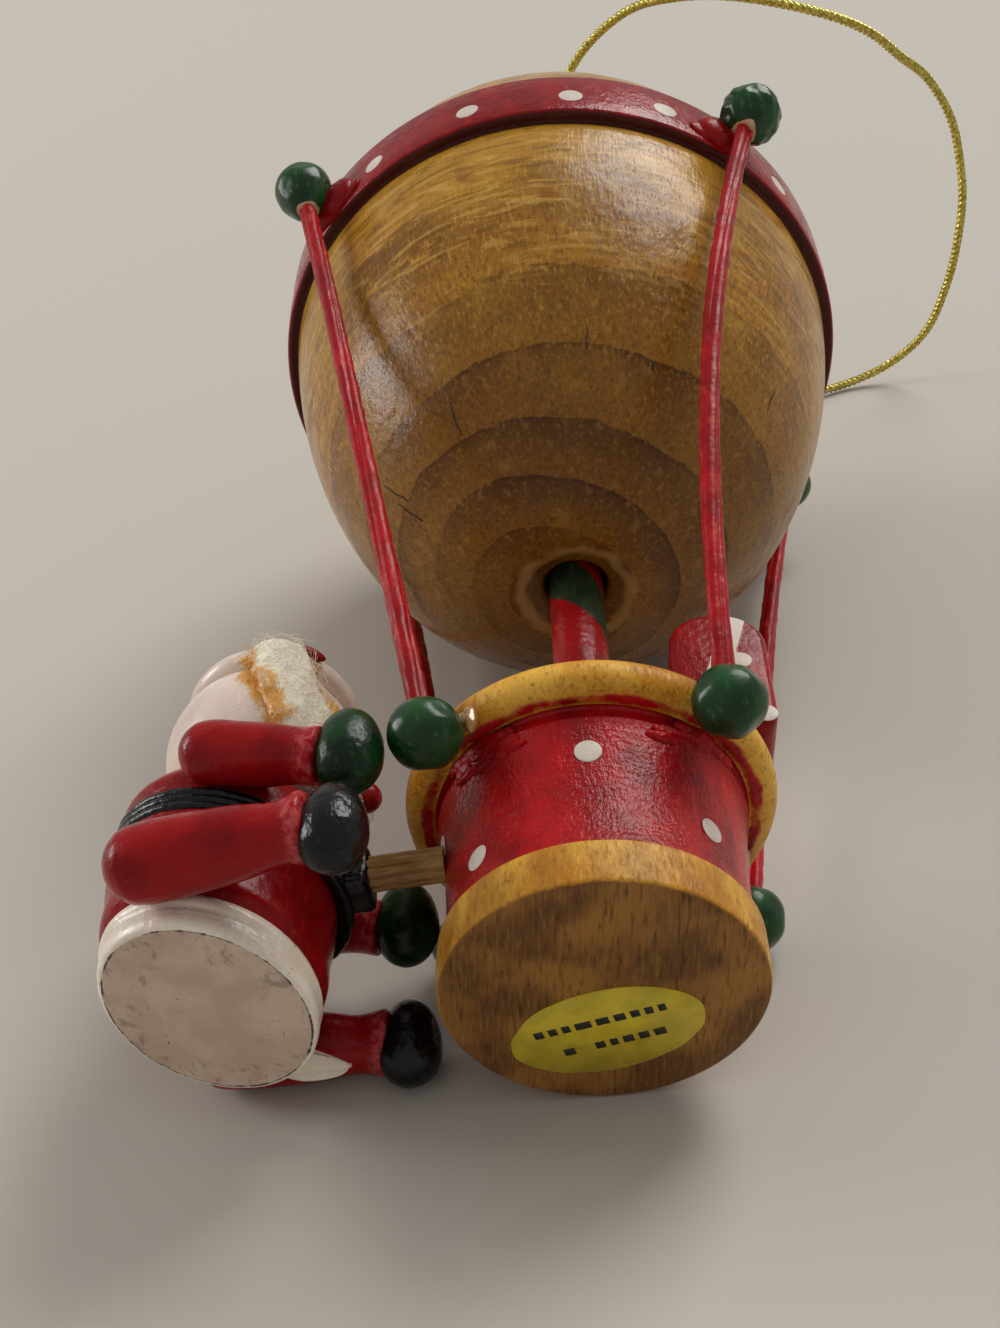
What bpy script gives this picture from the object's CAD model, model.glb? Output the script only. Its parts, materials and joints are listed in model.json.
"""The dressed wooden hot air balloon ornament, lying on a pale table.

Shapes are drawn upright in the ornament's own frame, in millimetres: the middle of
the basket's underside is the origin, +Z runs up the pole to the crown, and -Y is the
side that faces the camera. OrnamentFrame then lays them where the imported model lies.
"""

from __future__ import annotations

import json
import logging
import math
import random
from dataclasses import dataclass, field
from enum import Enum
from typing import Iterable, Sequence

import bmesh
import bpy
from mathutils import Matrix, Quaternion, Vector, noise

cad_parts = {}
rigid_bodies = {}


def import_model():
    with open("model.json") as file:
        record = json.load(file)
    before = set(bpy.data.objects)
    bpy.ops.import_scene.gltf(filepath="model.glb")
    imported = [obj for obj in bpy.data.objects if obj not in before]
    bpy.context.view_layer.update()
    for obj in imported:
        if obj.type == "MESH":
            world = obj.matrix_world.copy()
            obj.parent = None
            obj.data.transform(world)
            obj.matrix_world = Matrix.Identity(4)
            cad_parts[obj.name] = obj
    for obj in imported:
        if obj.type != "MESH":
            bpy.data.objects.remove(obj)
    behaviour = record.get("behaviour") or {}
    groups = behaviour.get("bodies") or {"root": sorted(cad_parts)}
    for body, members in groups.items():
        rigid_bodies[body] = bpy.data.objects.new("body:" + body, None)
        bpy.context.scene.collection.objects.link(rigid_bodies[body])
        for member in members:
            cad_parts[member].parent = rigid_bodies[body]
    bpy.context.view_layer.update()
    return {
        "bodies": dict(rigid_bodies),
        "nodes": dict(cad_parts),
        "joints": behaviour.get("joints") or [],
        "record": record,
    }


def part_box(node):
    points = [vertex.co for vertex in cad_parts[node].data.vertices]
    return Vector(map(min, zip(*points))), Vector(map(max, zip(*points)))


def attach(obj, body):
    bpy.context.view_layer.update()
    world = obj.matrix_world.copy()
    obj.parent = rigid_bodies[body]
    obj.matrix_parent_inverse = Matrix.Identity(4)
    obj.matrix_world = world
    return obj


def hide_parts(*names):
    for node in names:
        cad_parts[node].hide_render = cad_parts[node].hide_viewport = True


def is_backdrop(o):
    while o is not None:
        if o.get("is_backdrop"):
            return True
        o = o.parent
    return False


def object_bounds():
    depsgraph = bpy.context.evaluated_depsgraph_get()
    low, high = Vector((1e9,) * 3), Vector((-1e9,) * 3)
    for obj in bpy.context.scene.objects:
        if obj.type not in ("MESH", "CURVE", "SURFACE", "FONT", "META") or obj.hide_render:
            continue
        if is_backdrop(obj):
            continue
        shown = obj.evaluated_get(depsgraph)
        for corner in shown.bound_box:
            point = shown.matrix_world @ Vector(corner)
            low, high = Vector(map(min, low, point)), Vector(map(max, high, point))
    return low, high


LOG = logging.getLogger("ornament")

Colour = tuple[float, float, float, float]
Profile = list[tuple[float, float]]
Point = Sequence[float]
Mesh = bpy.types.Mesh
Material = bpy.types.Material
Socket = bpy.types.NodeSocket

MM = 0.001
MOUNT_BEHIND = 0.006


class Slot(Enum):
    """The record's material slots."""

    LACQUERED_WOOD = "lacquered_wood"
    PAINTED_BASKET = "painted_basket"
    RED_PAINT = "red_paint"
    GREEN_PAINT = "green_paint"
    BLACK_PAINT = "black_paint"
    WHITE_PAINT = "white_paint"
    BARE_WOOD = "bare_wood"
    COTTON = "cotton"
    GOLD_CORD = "gold_cord"


class Corner(Enum):
    """The four beads and rods round the basket, counter-clockwise from above."""

    FRONT_LEFT = "front_left"
    FRONT_RIGHT = "front_right"
    REAR_RIGHT = "rear_right"
    REAR_LEFT = "rear_left"


class Side(Enum):
    """The figure's two sides, seen by the camera."""

    NEAR = "near"
    FAR = "far"


def tint(red: int, green: int, blue: int) -> Colour:
    """A linear colour from screen values of 0 to 255."""
    parts = [value / 255 for value in (red, green, blue)]
    linear = [p / 12.92 if p <= 0.04045 else ((p + 0.055) / 1.055) ** 2.4 for p in parts]
    return (linear[0], linear[1], linear[2], 1.0)


def polar(radius: float, degrees: float, height: float) -> Vector:
    """A point at a radius, a bearing and a height."""
    angle = math.radians(degrees)
    return Vector((radius * math.cos(angle), radius * math.sin(angle), height))


def arc(centre: Point, radius: float, start: float, stop: float, steps: int) -> Profile:
    """Points of a circular arc in a profile.

    Args:
        centre: radius and height of the arc's centre.
        radius: the arc's own radius.
        start: first angle in degrees, from the outward direction.
        stop: last angle in degrees.
        steps: how many spans the arc has.

    Returns:
        Pairs of radius and height.
    """
    points = []
    for i in range(steps + 1):
        angle = math.radians(start + (stop - start) * i / steps)
        points.append((centre[0] + radius * math.cos(angle), centre[1] + radius * math.sin(angle)))
    return points


def oval(radius: float, rise: float, height: float, start: float, stop: float, steps: int) -> Profile:
    """Points of an ellipse in a profile.

    Args:
        radius: the ellipse's half width.
        rise: its half height.
        height: the height of its equator.
        start: first angle in radians, from the equator.
        stop: last angle in radians.
        steps: how many spans it has.

    Returns:
        Pairs of radius and height.
    """
    points = []
    for i in range(steps + 1):
        angle = start + (stop - start) * i / steps
        points.append((radius * math.cos(angle), height + rise * math.sin(angle)))
    return points


def smooth_path(points: Sequence[Point], per_span: int) -> list[Vector]:
    """The centripetal Catmull-Rom curve through points, as the part's source draws it.

    Args:
        points: the points that the curve passes.
        per_span: samples between two of them.

    Returns:
        Closely spaced points along the curve.
    """
    knots = [Vector(point) for point in points]
    ends = [knots[0] * 2 - knots[1], *knots, knots[-1] * 2 - knots[-2]]
    path = []
    for i in range(len(knots) - 1):
        p0, p1, p2, p3 = ends[i : i + 4]
        d0, d1, d2 = ((a - b).length ** 0.5 for a, b in ((p1, p0), (p2, p1), (p3, p2)))
        t1 = ((p1 - p0) / d0 - (p2 - p0) / (d0 + d1) + (p2 - p1) / d1) * d1
        t2 = ((p2 - p1) / d1 - (p3 - p1) / (d1 + d2) + (p3 - p2) / d2) * d1
        for k in range(per_span):
            s = k / per_span
            a = p1 * (2 * s**3 - 3 * s**2 + 1) + p2 * (3 * s**2 - 2 * s**3)
            b = t1 * (s**3 - 2 * s**2 + s) + t2 * (s**3 - s**2)
            path.append(a + b)
    path.append(knots[-1])
    return path


def smooth_profile(knots: Sequence[Point], per_span: int) -> Profile:
    """A smooth outline through pairs of radius and height."""
    return [(p.x, p.y) for p in smooth_path([(*knot, 0.0) for knot in knots], per_span)]


def clamp(value: float) -> float:
    """A number kept within 0 and 1."""
    return max(0.0, min(1.0, value))


def ease(value: float) -> float:
    """A soft step from 0 to 1, for a number that is kept within them."""
    share = clamp(value)
    return share * share * (3.0 - 2.0 * share)


def finished(work: bmesh.types.BMesh, name: str) -> Mesh:
    """Takes a worked shape to a mesh.

    Args:
        work: the shape, which is freed.
        name: the mesh's name.

    Returns:
        The mesh.
    """
    mesh = bpy.data.meshes.new(name)
    work.to_mesh(mesh)
    work.free()
    return mesh


def close_rows(work: bmesh.types.BMesh, rows: Sequence[Sequence[bmesh.types.BMVert]]) -> None:
    """Joins rings of corners to a tube and closes both its ends.

    Args:
        work: the shape that gets the faces.
        rows: rings with the same number of corners.
    """
    count = len(rows[0])
    for low, high in zip(rows, rows[1:]):
        for k in range(count):
            n = (k + 1) % count
            work.faces.new((low[k], low[n], high[n], high[k]))
    work.faces.new(list(reversed(rows[0])))
    work.faces.new(rows[-1])


def facing(direction: Vector) -> Matrix:
    """A turn that takes +Z to a direction."""
    return Vector((0, 0, 1)).rotation_difference(direction).to_matrix().to_4x4()


@dataclass(frozen=True)
class OrnamentFrame:
    """Where the ornament lies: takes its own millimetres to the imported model's metres."""

    matrix: Matrix

    @classmethod
    def from_model(cls, record: dict, bead_circle: float, bearings: Sequence[float]) -> "OrnamentFrame":
        """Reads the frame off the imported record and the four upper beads.

        Args:
            record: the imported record, whose base_underside mount gives the long axis.
            bead_circle: radius of the circle that the upper beads stand on.
            bearings: their bearings in the ornament's frame, in degrees.

        Returns:
            The ornament's frame.
        """
        mount = next(m for m in record["mounts"] if m["name"] == "base_underside")
        up = -Vector(mount["axis"]).normalized()
        centres = []
        for corner in Corner:
            low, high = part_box(f"upper_bead_{corner.value}")
            centres.append((Vector(low) + Vector(high)) / 2)
        middle = sum(centres, Vector()) / len(centres)
        across = Vector()
        for centre, bearing in zip(centres, bearings):
            out = centre - middle
            out -= up * out.dot(up)
            across += Quaternion(up, -math.radians(bearing)) @ out.normalized()
        x_axis = across.normalized()
        y_axis = up.cross(x_axis)
        turn = Matrix((x_axis, y_axis, up)).transposed()
        origin = Vector(mount["pos_m"]) + y_axis * MOUNT_BEHIND
        return cls(Matrix.Translation(origin) @ turn.to_4x4() @ Matrix.Scale(MM, 4))

    def child(self, place: Point, heading: float) -> "OrnamentFrame":
        """A frame that stands in this one, turned about its upright axis by degrees."""
        turn = Matrix.Rotation(math.radians(heading), 4, "Z")
        return OrnamentFrame(self.matrix @ Matrix.Translation(Vector(place)) @ turn)

    def at(self, place: Matrix) -> "OrnamentFrame":
        """A frame that a further placing leads to."""
        return OrnamentFrame(self.matrix @ place)

    def moved(self, place: Point) -> "OrnamentFrame":
        """A frame that stands elsewhere in this one."""
        return self.at(Matrix.Translation(Vector(place)))


class Graph:
    """A node tree, written one node at a time."""

    def __init__(self, tree: bpy.types.NodeTree) -> None:
        """Starts on an empty tree."""
        self.tree = tree
        self.tree.nodes.clear()

    def feed(self, socket: Socket, value: object) -> None:
        """Links a socket to another, or sets its value.

        Args:
            socket: the input to feed.
            value: another node's output, or a plain value.
        """
        if isinstance(value, Socket):
            self.tree.links.new(value, socket)
        else:
            socket.default_value = value

    def add(self, kind: str, inputs: dict | None = None, **settings: object) -> bpy.types.Node:
        """Adds a node.

        Args:
            kind: the node's type name.
            inputs: socket name or number to a value or a socket.
            **settings: the node's own properties.

        Returns:
            The new node.
        """
        node = self.tree.nodes.new(kind)
        for key, value in settings.items():
            setattr(node, key, value)
        for key, value in (inputs or {}).items():
            self.feed(node.inputs[key], value)
        return node

    def math(
        self, operation: str, first: object, second: object = 0.0, third: object = 0.0, clamp: bool = False
    ) -> Socket:
        """The result of a Math node."""
        inputs = {0: first, 1: second, 2: third}
        return self.add("ShaderNodeMath", inputs, operation=operation, use_clamp=clamp).outputs[0]

    def plus(self, first: object, second: object) -> Socket:
        """The sum of two numbers."""
        return self.math("ADD", first, second)

    def minus(self, first: object, second: object) -> Socket:
        """The difference of two numbers."""
        return self.math("SUBTRACT", first, second)

    def times(self, first: object, second: object) -> Socket:
        """The product of two numbers."""
        return self.math("MULTIPLY", first, second)

    def times_plus(self, first: object, second: object, third: object) -> Socket:
        """The product of two numbers, plus a third."""
        return self.math("MULTIPLY_ADD", first, second, third)

    def scaled(self, vector: object, size: object) -> Socket:
        """A vector made longer or shorter.

        Args:
            vector: the vector.
            size: what it is multiplied by.

        Returns:
            The scaled vector.
        """
        node = self.add("ShaderNodeVectorMath", {0: vector}, operation="SCALE")
        self.feed(node.inputs["Scale"], size)
        return node.outputs[0]

    def vector_math(self, operation: str, first: object, second: object = (0.0, 0.0, 0.0)) -> Socket:
        """The result of a Vector Math node."""
        node = self.add("ShaderNodeVectorMath", {0: first, 1: second}, operation=operation)
        return node.outputs["Value"] if operation in ("LENGTH", "DOT_PRODUCT") else node.outputs[0]

    def ramp(self, value: object, low: float, high: float, soft: bool = True) -> Socket:
        """Runs from 0 to 1 and stays within them.

        Args:
            value: the number that drives it.
            low: where it is 0.
            high: where it is 1, which may be the lower number.
            soft: whether it eases in and out.

        Returns:
            The share.
        """
        kind = "SMOOTHSTEP" if soft else "LINEAR"
        inputs = {"Value": value, "From Min": low, "From Max": high, "To Min": 0.0, "To Max": 1.0}
        return self.add("ShaderNodeMapRange", inputs, interpolation_type=kind, clamp=True).outputs[0]

    def noise(
        self, place: object, scale: object, detail: float = 2.0, seed: object = 0.0,
        roughness: float = 0.5, distortion: float = 0.0,
    ) -> Socket:
        """Soft random values of about 0.25 to 0.75.

        Args:
            place: the coordinates.
            scale: how many spots there are to a millimetre.
            detail: how many finer layers are added.
            seed: number that picks the pattern.
            roughness: how strong the finer layers are.
            distortion: how far the pattern is bent.

        Returns:
            The values.
        """
        inputs = {"Vector": place, "Scale": scale, "Detail": detail, "W": seed}
        inputs |= {"Roughness": roughness, "Distortion": distortion}
        return self.add("ShaderNodeTexNoise", inputs, noise_dimensions="4D").outputs[0]

    def mix(self, share: object, first: object, second: object) -> Socket:
        """A number between two others."""
        return self.add("ShaderNodeMix", {0: share, 2: first, 3: second}, data_type="FLOAT").outputs[0]

    def blend(self, share: object, first: object, second: object, way: str = "MIX") -> Socket:
        """A colour between two others."""
        inputs = {0: share, 6: first, 7: second}
        return self.add("ShaderNodeMix", inputs, data_type="RGBA", blend_type=way).outputs[2]


@dataclass
class Skin:
    """What a finish gives a surface: its colour, its roughness and its height in millimetres."""

    colour: Socket
    roughness: Socket
    height: Socket


class Surface(Graph):
    """A material whose pattern is drawn in millimetres in a frame of the ornament."""

    def __init__(self, name: str, place: OrnamentFrame) -> None:
        """Makes the material and its millimetre coordinates.

        Args:
            name: the material's name.
            place: the frame that the pattern is drawn in.
        """
        self.material = bpy.data.materials.new(name)
        self.material.use_nodes = True
        super().__init__(self.material.node_tree)
        where, turn, size = place.matrix.decompose()
        source = self.add("ShaderNodeTexCoord").outputs["Object"]
        inputs = {"Vector": source, "Location": where, "Rotation": turn.to_euler(), "Scale": size}
        self.place = self.add("ShaderNodeMapping", inputs, vector_type="TEXTURE").outputs[0]
        parts = self.add("ShaderNodeSeparateXYZ", {0: self.place})
        self.x, self.y, self.z = parts.outputs[0], parts.outputs[1], parts.outputs[2]

    def radius(self) -> Socket:
        """Distance from the frame's upright axis."""
        flat = self.vector_math("MULTIPLY", self.place, (1.0, 1.0, 0.0))
        return self.vector_math("LENGTH", flat)

    def away_from(self, line: Sequence[Point], place: Socket) -> Socket:
        """Distance from a chain of straight spans.

        Args:
            line: the chain's points.
            place: the coordinates to measure from.

        Returns:
            The distance to the nearest span, in millimetres.
        """
        nearest = None
        for start, stop in zip(line, line[1:]):
            span = Vector(stop) - Vector(start)
            offset = self.vector_math("SUBTRACT", place, tuple(start))
            along = self.vector_math("DOT_PRODUCT", offset, tuple(span))
            share = self.math("DIVIDE", along, span.length_squared, clamp=True)
            nearest_spot = self.scaled(tuple(span), share)
            away = self.vector_math("LENGTH", self.vector_math("SUBTRACT", offset, nearest_spot))
            nearest = away if nearest is None else self.math("MINIMUM", nearest, away)
        return nearest

    def stretched(self, along: Point) -> Socket:
        """Coordinates scaled along each axis, for grain that runs one way."""
        return self.vector_math("MULTIPLY", self.place, tuple(along))

    def layered(self, colour: Socket, layers: Iterable[tuple[Socket, float, Colour]]) -> Socket:
        """Lays colours over one another.

        Args:
            colour: the lowest colour.
            layers: for each further one the share that it covers, its strength and its colour.

        Returns:
            The joined colour.
        """
        for share, strength, above in layers:
            colour = self.blend(self.times(share, strength), colour, above)
        return colour

    def relief(self, parts: Iterable[tuple[Socket, float]], height: object = 0.0) -> Socket:
        """Adds up patterns that raise or dent the surface.

        Args:
            parts: for each pattern its values and its height in millimetres.
            height: what they are added to.

        Returns:
            The joined height.
        """
        for pattern, rise in parts:
            height = self.times_plus(pattern, rise, height)
        return height

    def over(self, share: Socket, below: Skin, above: Skin, thickness: float = 0.0) -> Skin:
        """One skin over another.

        Args:
            share: 0 where the lower skin shows and 1 where the upper one covers it.
            below: the lower skin.
            above: the upper skin.
            thickness: how far the upper one stands up, in millimetres.

        Returns:
            The joined skin.
        """
        height = self.mix(share, below.height, above.height)
        if thickness:
            height = self.times_plus(share, thickness, height)
        return Skin(
            self.blend(share, below.colour, above.colour),
            self.mix(share, below.roughness, above.roughness),
            height,
        )

    def finish(self, skin: Skin, **constants: float) -> Material:
        """Joins a skin to the shader.

        Args:
            skin: what the surface shows.
            **constants: the shader's own numbers, by name with _ for a space.

        Returns:
            The finished material.
        """
        bump = self.add("ShaderNodeBump", {"Height": skin.height, "Strength": 1.0, "Distance": MM})
        shader = self.add("ShaderNodeBsdfPrincipled")
        self.feed(shader.inputs["Base Color"], skin.colour)
        self.feed(shader.inputs["Roughness"], skin.roughness)
        self.feed(shader.inputs["Normal"], bump.outputs[0])
        for name, value in constants.items():
            shader.inputs[name.replace("_", " ")].default_value = value
        output = self.add("ShaderNodeOutputMaterial")
        self.tree.links.new(shader.outputs[0], output.inputs[0])
        return self.material


@dataclass(frozen=True)
class GlossPaint:
    """Brushed gloss paint on small turned wood, mottled, with a few dark specks."""

    name: str
    colour: Colour
    deep: Colour
    pale: Colour
    roughness: float = 0.28
    peel: float = 0.03
    peel_size: float = 0.9
    grain: float = 0.012
    shine: float = 0.16
    speck: Colour = tint(40, 14, 12)

    def skin(self, s: Surface) -> Skin:
        """Draws the paint.

        Args:
            s: the surface that it is on.

        Returns:
            The paint's skin.
        """
        cloud = s.noise(s.place, 0.22, 3.0, 1.7)
        streak = s.noise(s.stretched((1.6, 1.6, 0.35)), 1.0, 3.0, 4.1)
        specks = s.noise(s.place, 3.2, 2.0, 9.3)
        worn = s.ramp(s.noise(s.place, 0.8, 3.0, 6.6), 0.35, 0.7)
        peel = s.noise(s.place, 1.0 / self.peel_size, 2.0, 2.9)
        grain = s.noise(s.stretched((4.5, 4.5, 1.1)), 1.0, 3.0, 7.7, 0.6)
        colour = s.blend(s.ramp(cloud, 0.34, 0.68), self.deep, self.colour)
        layers = [(s.ramp(streak, 0.55, 0.8), 1.0, self.pale), (s.ramp(specks, 0.7, 0.76), 1.0, self.speck)]
        return Skin(
            s.layered(colour, layers),
            s.mix(worn, self.roughness * 0.75, self.roughness * 1.45),
            s.relief([(peel, self.peel), (grain, self.grain)]),
        )

    def material(self, place: OrnamentFrame, bare: "StainedWood | None" = None) -> Material:
        """Makes the material.

        Args:
            place: the frame that its pattern is drawn in.
            bare: the wood that shows where the piece's worn attribute says so.

        Returns:
            The material.
        """
        s = Surface(self.name, place)
        skin = self.skin(s)
        if bare is not None:
            worn = s.add("ShaderNodeAttribute", attribute_name="worn").outputs["Fac"]
            ragged = s.times_plus(s.noise(s.place, 2.6, 4.0, 3.3, 0.6), 0.9, worn)
            skin = s.over(s.ramp(ragged, 0.86, 0.96), skin, bare.skin(s), -0.04)
        return s.finish(skin, Specular_IOR_Level=self.shine)


@dataclass(frozen=True)
class RingedWood:
    """Clear-lacquered wood turned round its own growth rings."""

    name: str = "ringed wood"
    early: Colour = tint(166, 112, 34)
    late: Colour = tint(94, 54, 12)
    line: Colour = tint(54, 29, 8)
    golden: Colour = tint(186, 136, 44)
    pale: Colour = tint(186, 138, 66)
    straw: Colour = tint(206, 158, 70)
    shadow: Colour = tint(84, 46, 16)
    scraped: Colour = tint(172, 128, 60)
    cut: Colour = tint(186, 146, 84)
    sweep_light: Colour = tint(214, 168, 84)
    sweep_dark: Colour = tint(104, 66, 20)
    spacing: float = 4.1
    heart: tuple[float, float] = (-2.4, 0.3)
    lean: float = 0.2
    lean_height: float = 13.0
    foot: float = 50.0
    mouth: float = 52.0
    band: float = 93.6

    def reach(self, s: Surface) -> Socket:
        """Distance from the tree's heart, which leans a little and wavers.

        Args:
            s: the surface that it is on.

        Returns:
            The distance, in millimetres.
        """
        rise = s.math("MINIMUM", s.minus(s.z, self.foot), self.lean_height)
        x = s.times_plus(rise, -self.lean, s.minus(s.x, self.heart[0]))
        y = s.minus(s.y, self.heart[1])
        flat = s.add("ShaderNodeCombineXYZ", {0: x, 1: y, 2: 0.0}).outputs[0]
        reach = s.vector_math("LENGTH", flat)
        sway = s.noise(s.stretched((0.07, 0.07, 0.02)), 1.0, 1.0, 12.5)
        wobble = s.noise(s.stretched((0.4, 0.4, 0.12)), 1.0, 2.0, 5.5)
        reach = s.times_plus(s.minus(sway, 0.5), 2.6, reach)
        return s.times_plus(s.minus(wobble, 0.5), 0.7, reach)

    def skin(self, s: Surface) -> Skin:
        """Draws the rings, the fibres and the small pores.

        Args:
            s: the surface that it is on.

        Returns:
            The wood's skin.
        """
        cloud = s.noise(s.stretched((0.12, 0.12, 0.05)), 1.0, 3.0, 8.2)
        fibre = s.noise(s.stretched((2.8, 2.8, 0.3)), 1.0, 4.0, 2.2, 0.65)
        pores = s.ramp(s.noise(s.stretched((7.0, 7.0, 1.1)), 1.0, 2.0, 3.9), 0.6, 0.7)
        sweep = s.noise(s.stretched((0.13, 0.13, 0.7)), 1.0, 5.0, 11.7, 0.62, 1.4)
        upper = s.ramp(s.z, 60.0, 78.0)
        golden = s.ramp(s.times_plus(cloud, 14.0, s.z), 80.0, 94.0)
        golden = s.times(golden, s.mix(s.ramp(s.z, 98.0, 104.0), 0.7, 0.15))
        stroke = s.ramp(s.noise(s.stretched((0.9, 0.9, 0.25)), 1.0, 3.0, 6.4, 0.6), 0.56, 0.66)
        layers = [
            (s.ramp(cloud, 0.4, 0.66), 0.6, self.golden),
            (s.ramp(fibre, 0.5, 0.66), 0.62, self.late),
            (s.ramp(fibre, 0.47, 0.32), 0.6, self.straw),
            (pores, 0.55, self.line),
            (s.ramp(s.z, 74.0, self.mouth), 0.55, self.shadow),
            (golden, 1.0, self.golden),
            (s.times(stroke, s.ramp(s.z, 72.0, self.mouth)), 0.32, self.scraped),
            (self.lip(s), 0.7, self.cut),
            (s.ramp(s.z, self.band, self.band + 6.0), 0.55, self.pale),
            (s.times(s.ramp(sweep, 0.52, 0.62), upper), 0.5, self.sweep_light),
            (s.times(s.ramp(sweep, 0.48, 0.38), upper), 0.55, self.sweep_dark),
        ]
        tooling = s.noise(s.stretched((1.2, 1.2, 0.6)), 1.0, 3.0, 4.6)
        dents = s.noise(s.place, 0.3, 2.0, 9.9)
        return Skin(
            s.layered(self.rings(s), layers),
            s.mix(s.ramp(s.noise(s.place, 0.5, 3.0, 1.1), 0.4, 0.7), 0.16, 0.3),
            s.relief([(fibre, 0.05), (pores, -0.02), (tooling, 0.07), (dents, 0.15)]),
        )

    def rings(self, s: Surface) -> Socket:
        """Draws the growth rings, each dark towards a sharp outer line.

        Args:
            s: the surface that it is on.

        Returns:
            Their colour.
        """
        reach = self.reach(s)
        turns = s.math("DIVIDE", reach, self.spacing)
        phase = s.math("FRACT", turns)
        inner = s.ramp(reach, 26.0, 19.0)
        inputs = {"W": s.math("FLOOR", turns)}
        own = s.add("ShaderNodeTexWhiteNoise", inputs, noise_dimensions="1D").outputs[0]
        strength = s.times(s.times_plus(own, 0.25, 0.85), s.mix(inner, 0.6, 1.0))
        dark = s.times(s.math("POWER", phase, 1.2), strength)
        edge = s.times(s.ramp(phase, 0.9, 0.975), s.ramp(phase, 1.0, 0.985))
        edge = s.times(edge, s.times(strength, s.mix(inner, 0.2, 0.7)))
        return s.blend(edge, s.blend(dark, self.early, self.late), self.line)

    def lip(self, s: Surface) -> Socket:
        """Finds the pale, crooked ring that is cut round the mouth.

        Args:
            s: the surface that it is on.

        Returns:
            How much of it shows.
        """
        across = s.times_plus(s.noise(s.place, 0.35, 3.0, 8.7), 2.4, s.minus(s.radius(), 0.8))
        ring = s.times(s.ramp(across, 4.6, 5.3), s.ramp(across, 6.6, 5.6))
        return s.times(ring, s.ramp(s.z, self.mouth, self.mouth - 0.6))


@dataclass(frozen=True)
class StainedWood:
    """Wood with a yellow-brown stain, its short fibres raised and blotched."""

    name: str = "stained wood"
    light: Colour = tint(214, 172, 92)
    colour: Colour = tint(176, 126, 48)
    dark: Colour = tint(104, 66, 28)
    along: tuple[float, float, float] = (2.2, 2.2, 0.7)
    relief: float = 0.05
    roughness: float = 0.36

    def skin(self, s: Surface) -> Skin:
        """Draws the stain and the fibres.

        Args:
            s: the surface that it is on.

        Returns:
            The wood's skin.
        """
        cloud = s.noise(s.place, 0.16, 3.0, 5.2)
        fibre = s.noise(s.stretched(self.along), 1.3, 4.0, 6.1, 0.65, 0.4)
        pores = s.ramp(s.noise(s.stretched([3.0 * a for a in self.along]), 1.0, 2.0, 8.8), 0.64, 0.74)
        colour = s.blend(s.ramp(cloud, 0.38, 0.64), self.colour, self.light)
        layers = [
            (s.ramp(fibre, 0.5, 0.68), 0.6, self.dark),
            (s.ramp(fibre, 0.48, 0.34), 0.6, self.light),
            (pores, 0.35, self.dark),
        ]
        return Skin(
            s.layered(colour, layers),
            s.mix(s.ramp(fibre, 0.3, 0.7), self.roughness * 0.7, self.roughness * 1.4),
            s.relief([(fibre, self.relief), (pores, -0.015)]),
        )

    def material(self, place: OrnamentFrame) -> Material:
        """Makes the material in a frame."""
        s = Surface(self.name, place)
        return s.finish(self.skin(s), Specular_IOR_Level=0.4)


@dataclass(frozen=True)
class BalloonFinish:
    """The lacquered ball with its painted band."""

    wood: RingedWood
    paint: GlossPaint
    band_middle: float
    band_height: float
    groove_dark: Colour = tint(58, 18, 10)

    def material(self, place: OrnamentFrame) -> Material:
        """Makes the material.

        Args:
            place: the ornament's frame.

        Returns:
            The material, red where the band stands and wood elsewhere.
        """
        s = Surface("lacquered balloon", place)
        wander = s.noise(s.place, 0.16, 3.0, 7.4, 0.6)
        half = self.band_height / 2
        offset = s.math("ABSOLUTE", s.minus(s.z, self.band_middle))
        reach = s.times_plus(wander, 0.3, s.plus(offset, -0.2))
        covered = s.ramp(reach, half + 0.02, half - 0.06)
        skin = s.over(covered, self.wood.skin(s), self.paint.skin(s), 0.05)
        foot = self.band_middle - half
        ragged = s.times_plus(wander, 0.5, s.z)
        groove = s.times(s.ramp(ragged, foot - 0.6, foot - 0.25), s.ramp(s.z, foot + 0.2, foot + 0.08))
        shaded = s.layered(skin.colour, [(groove, 0.9, self.groove_dark)])
        return s.finish(Skin(shaded, skin.roughness, skin.height), Specular_IOR_Level=0.22)


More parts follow.
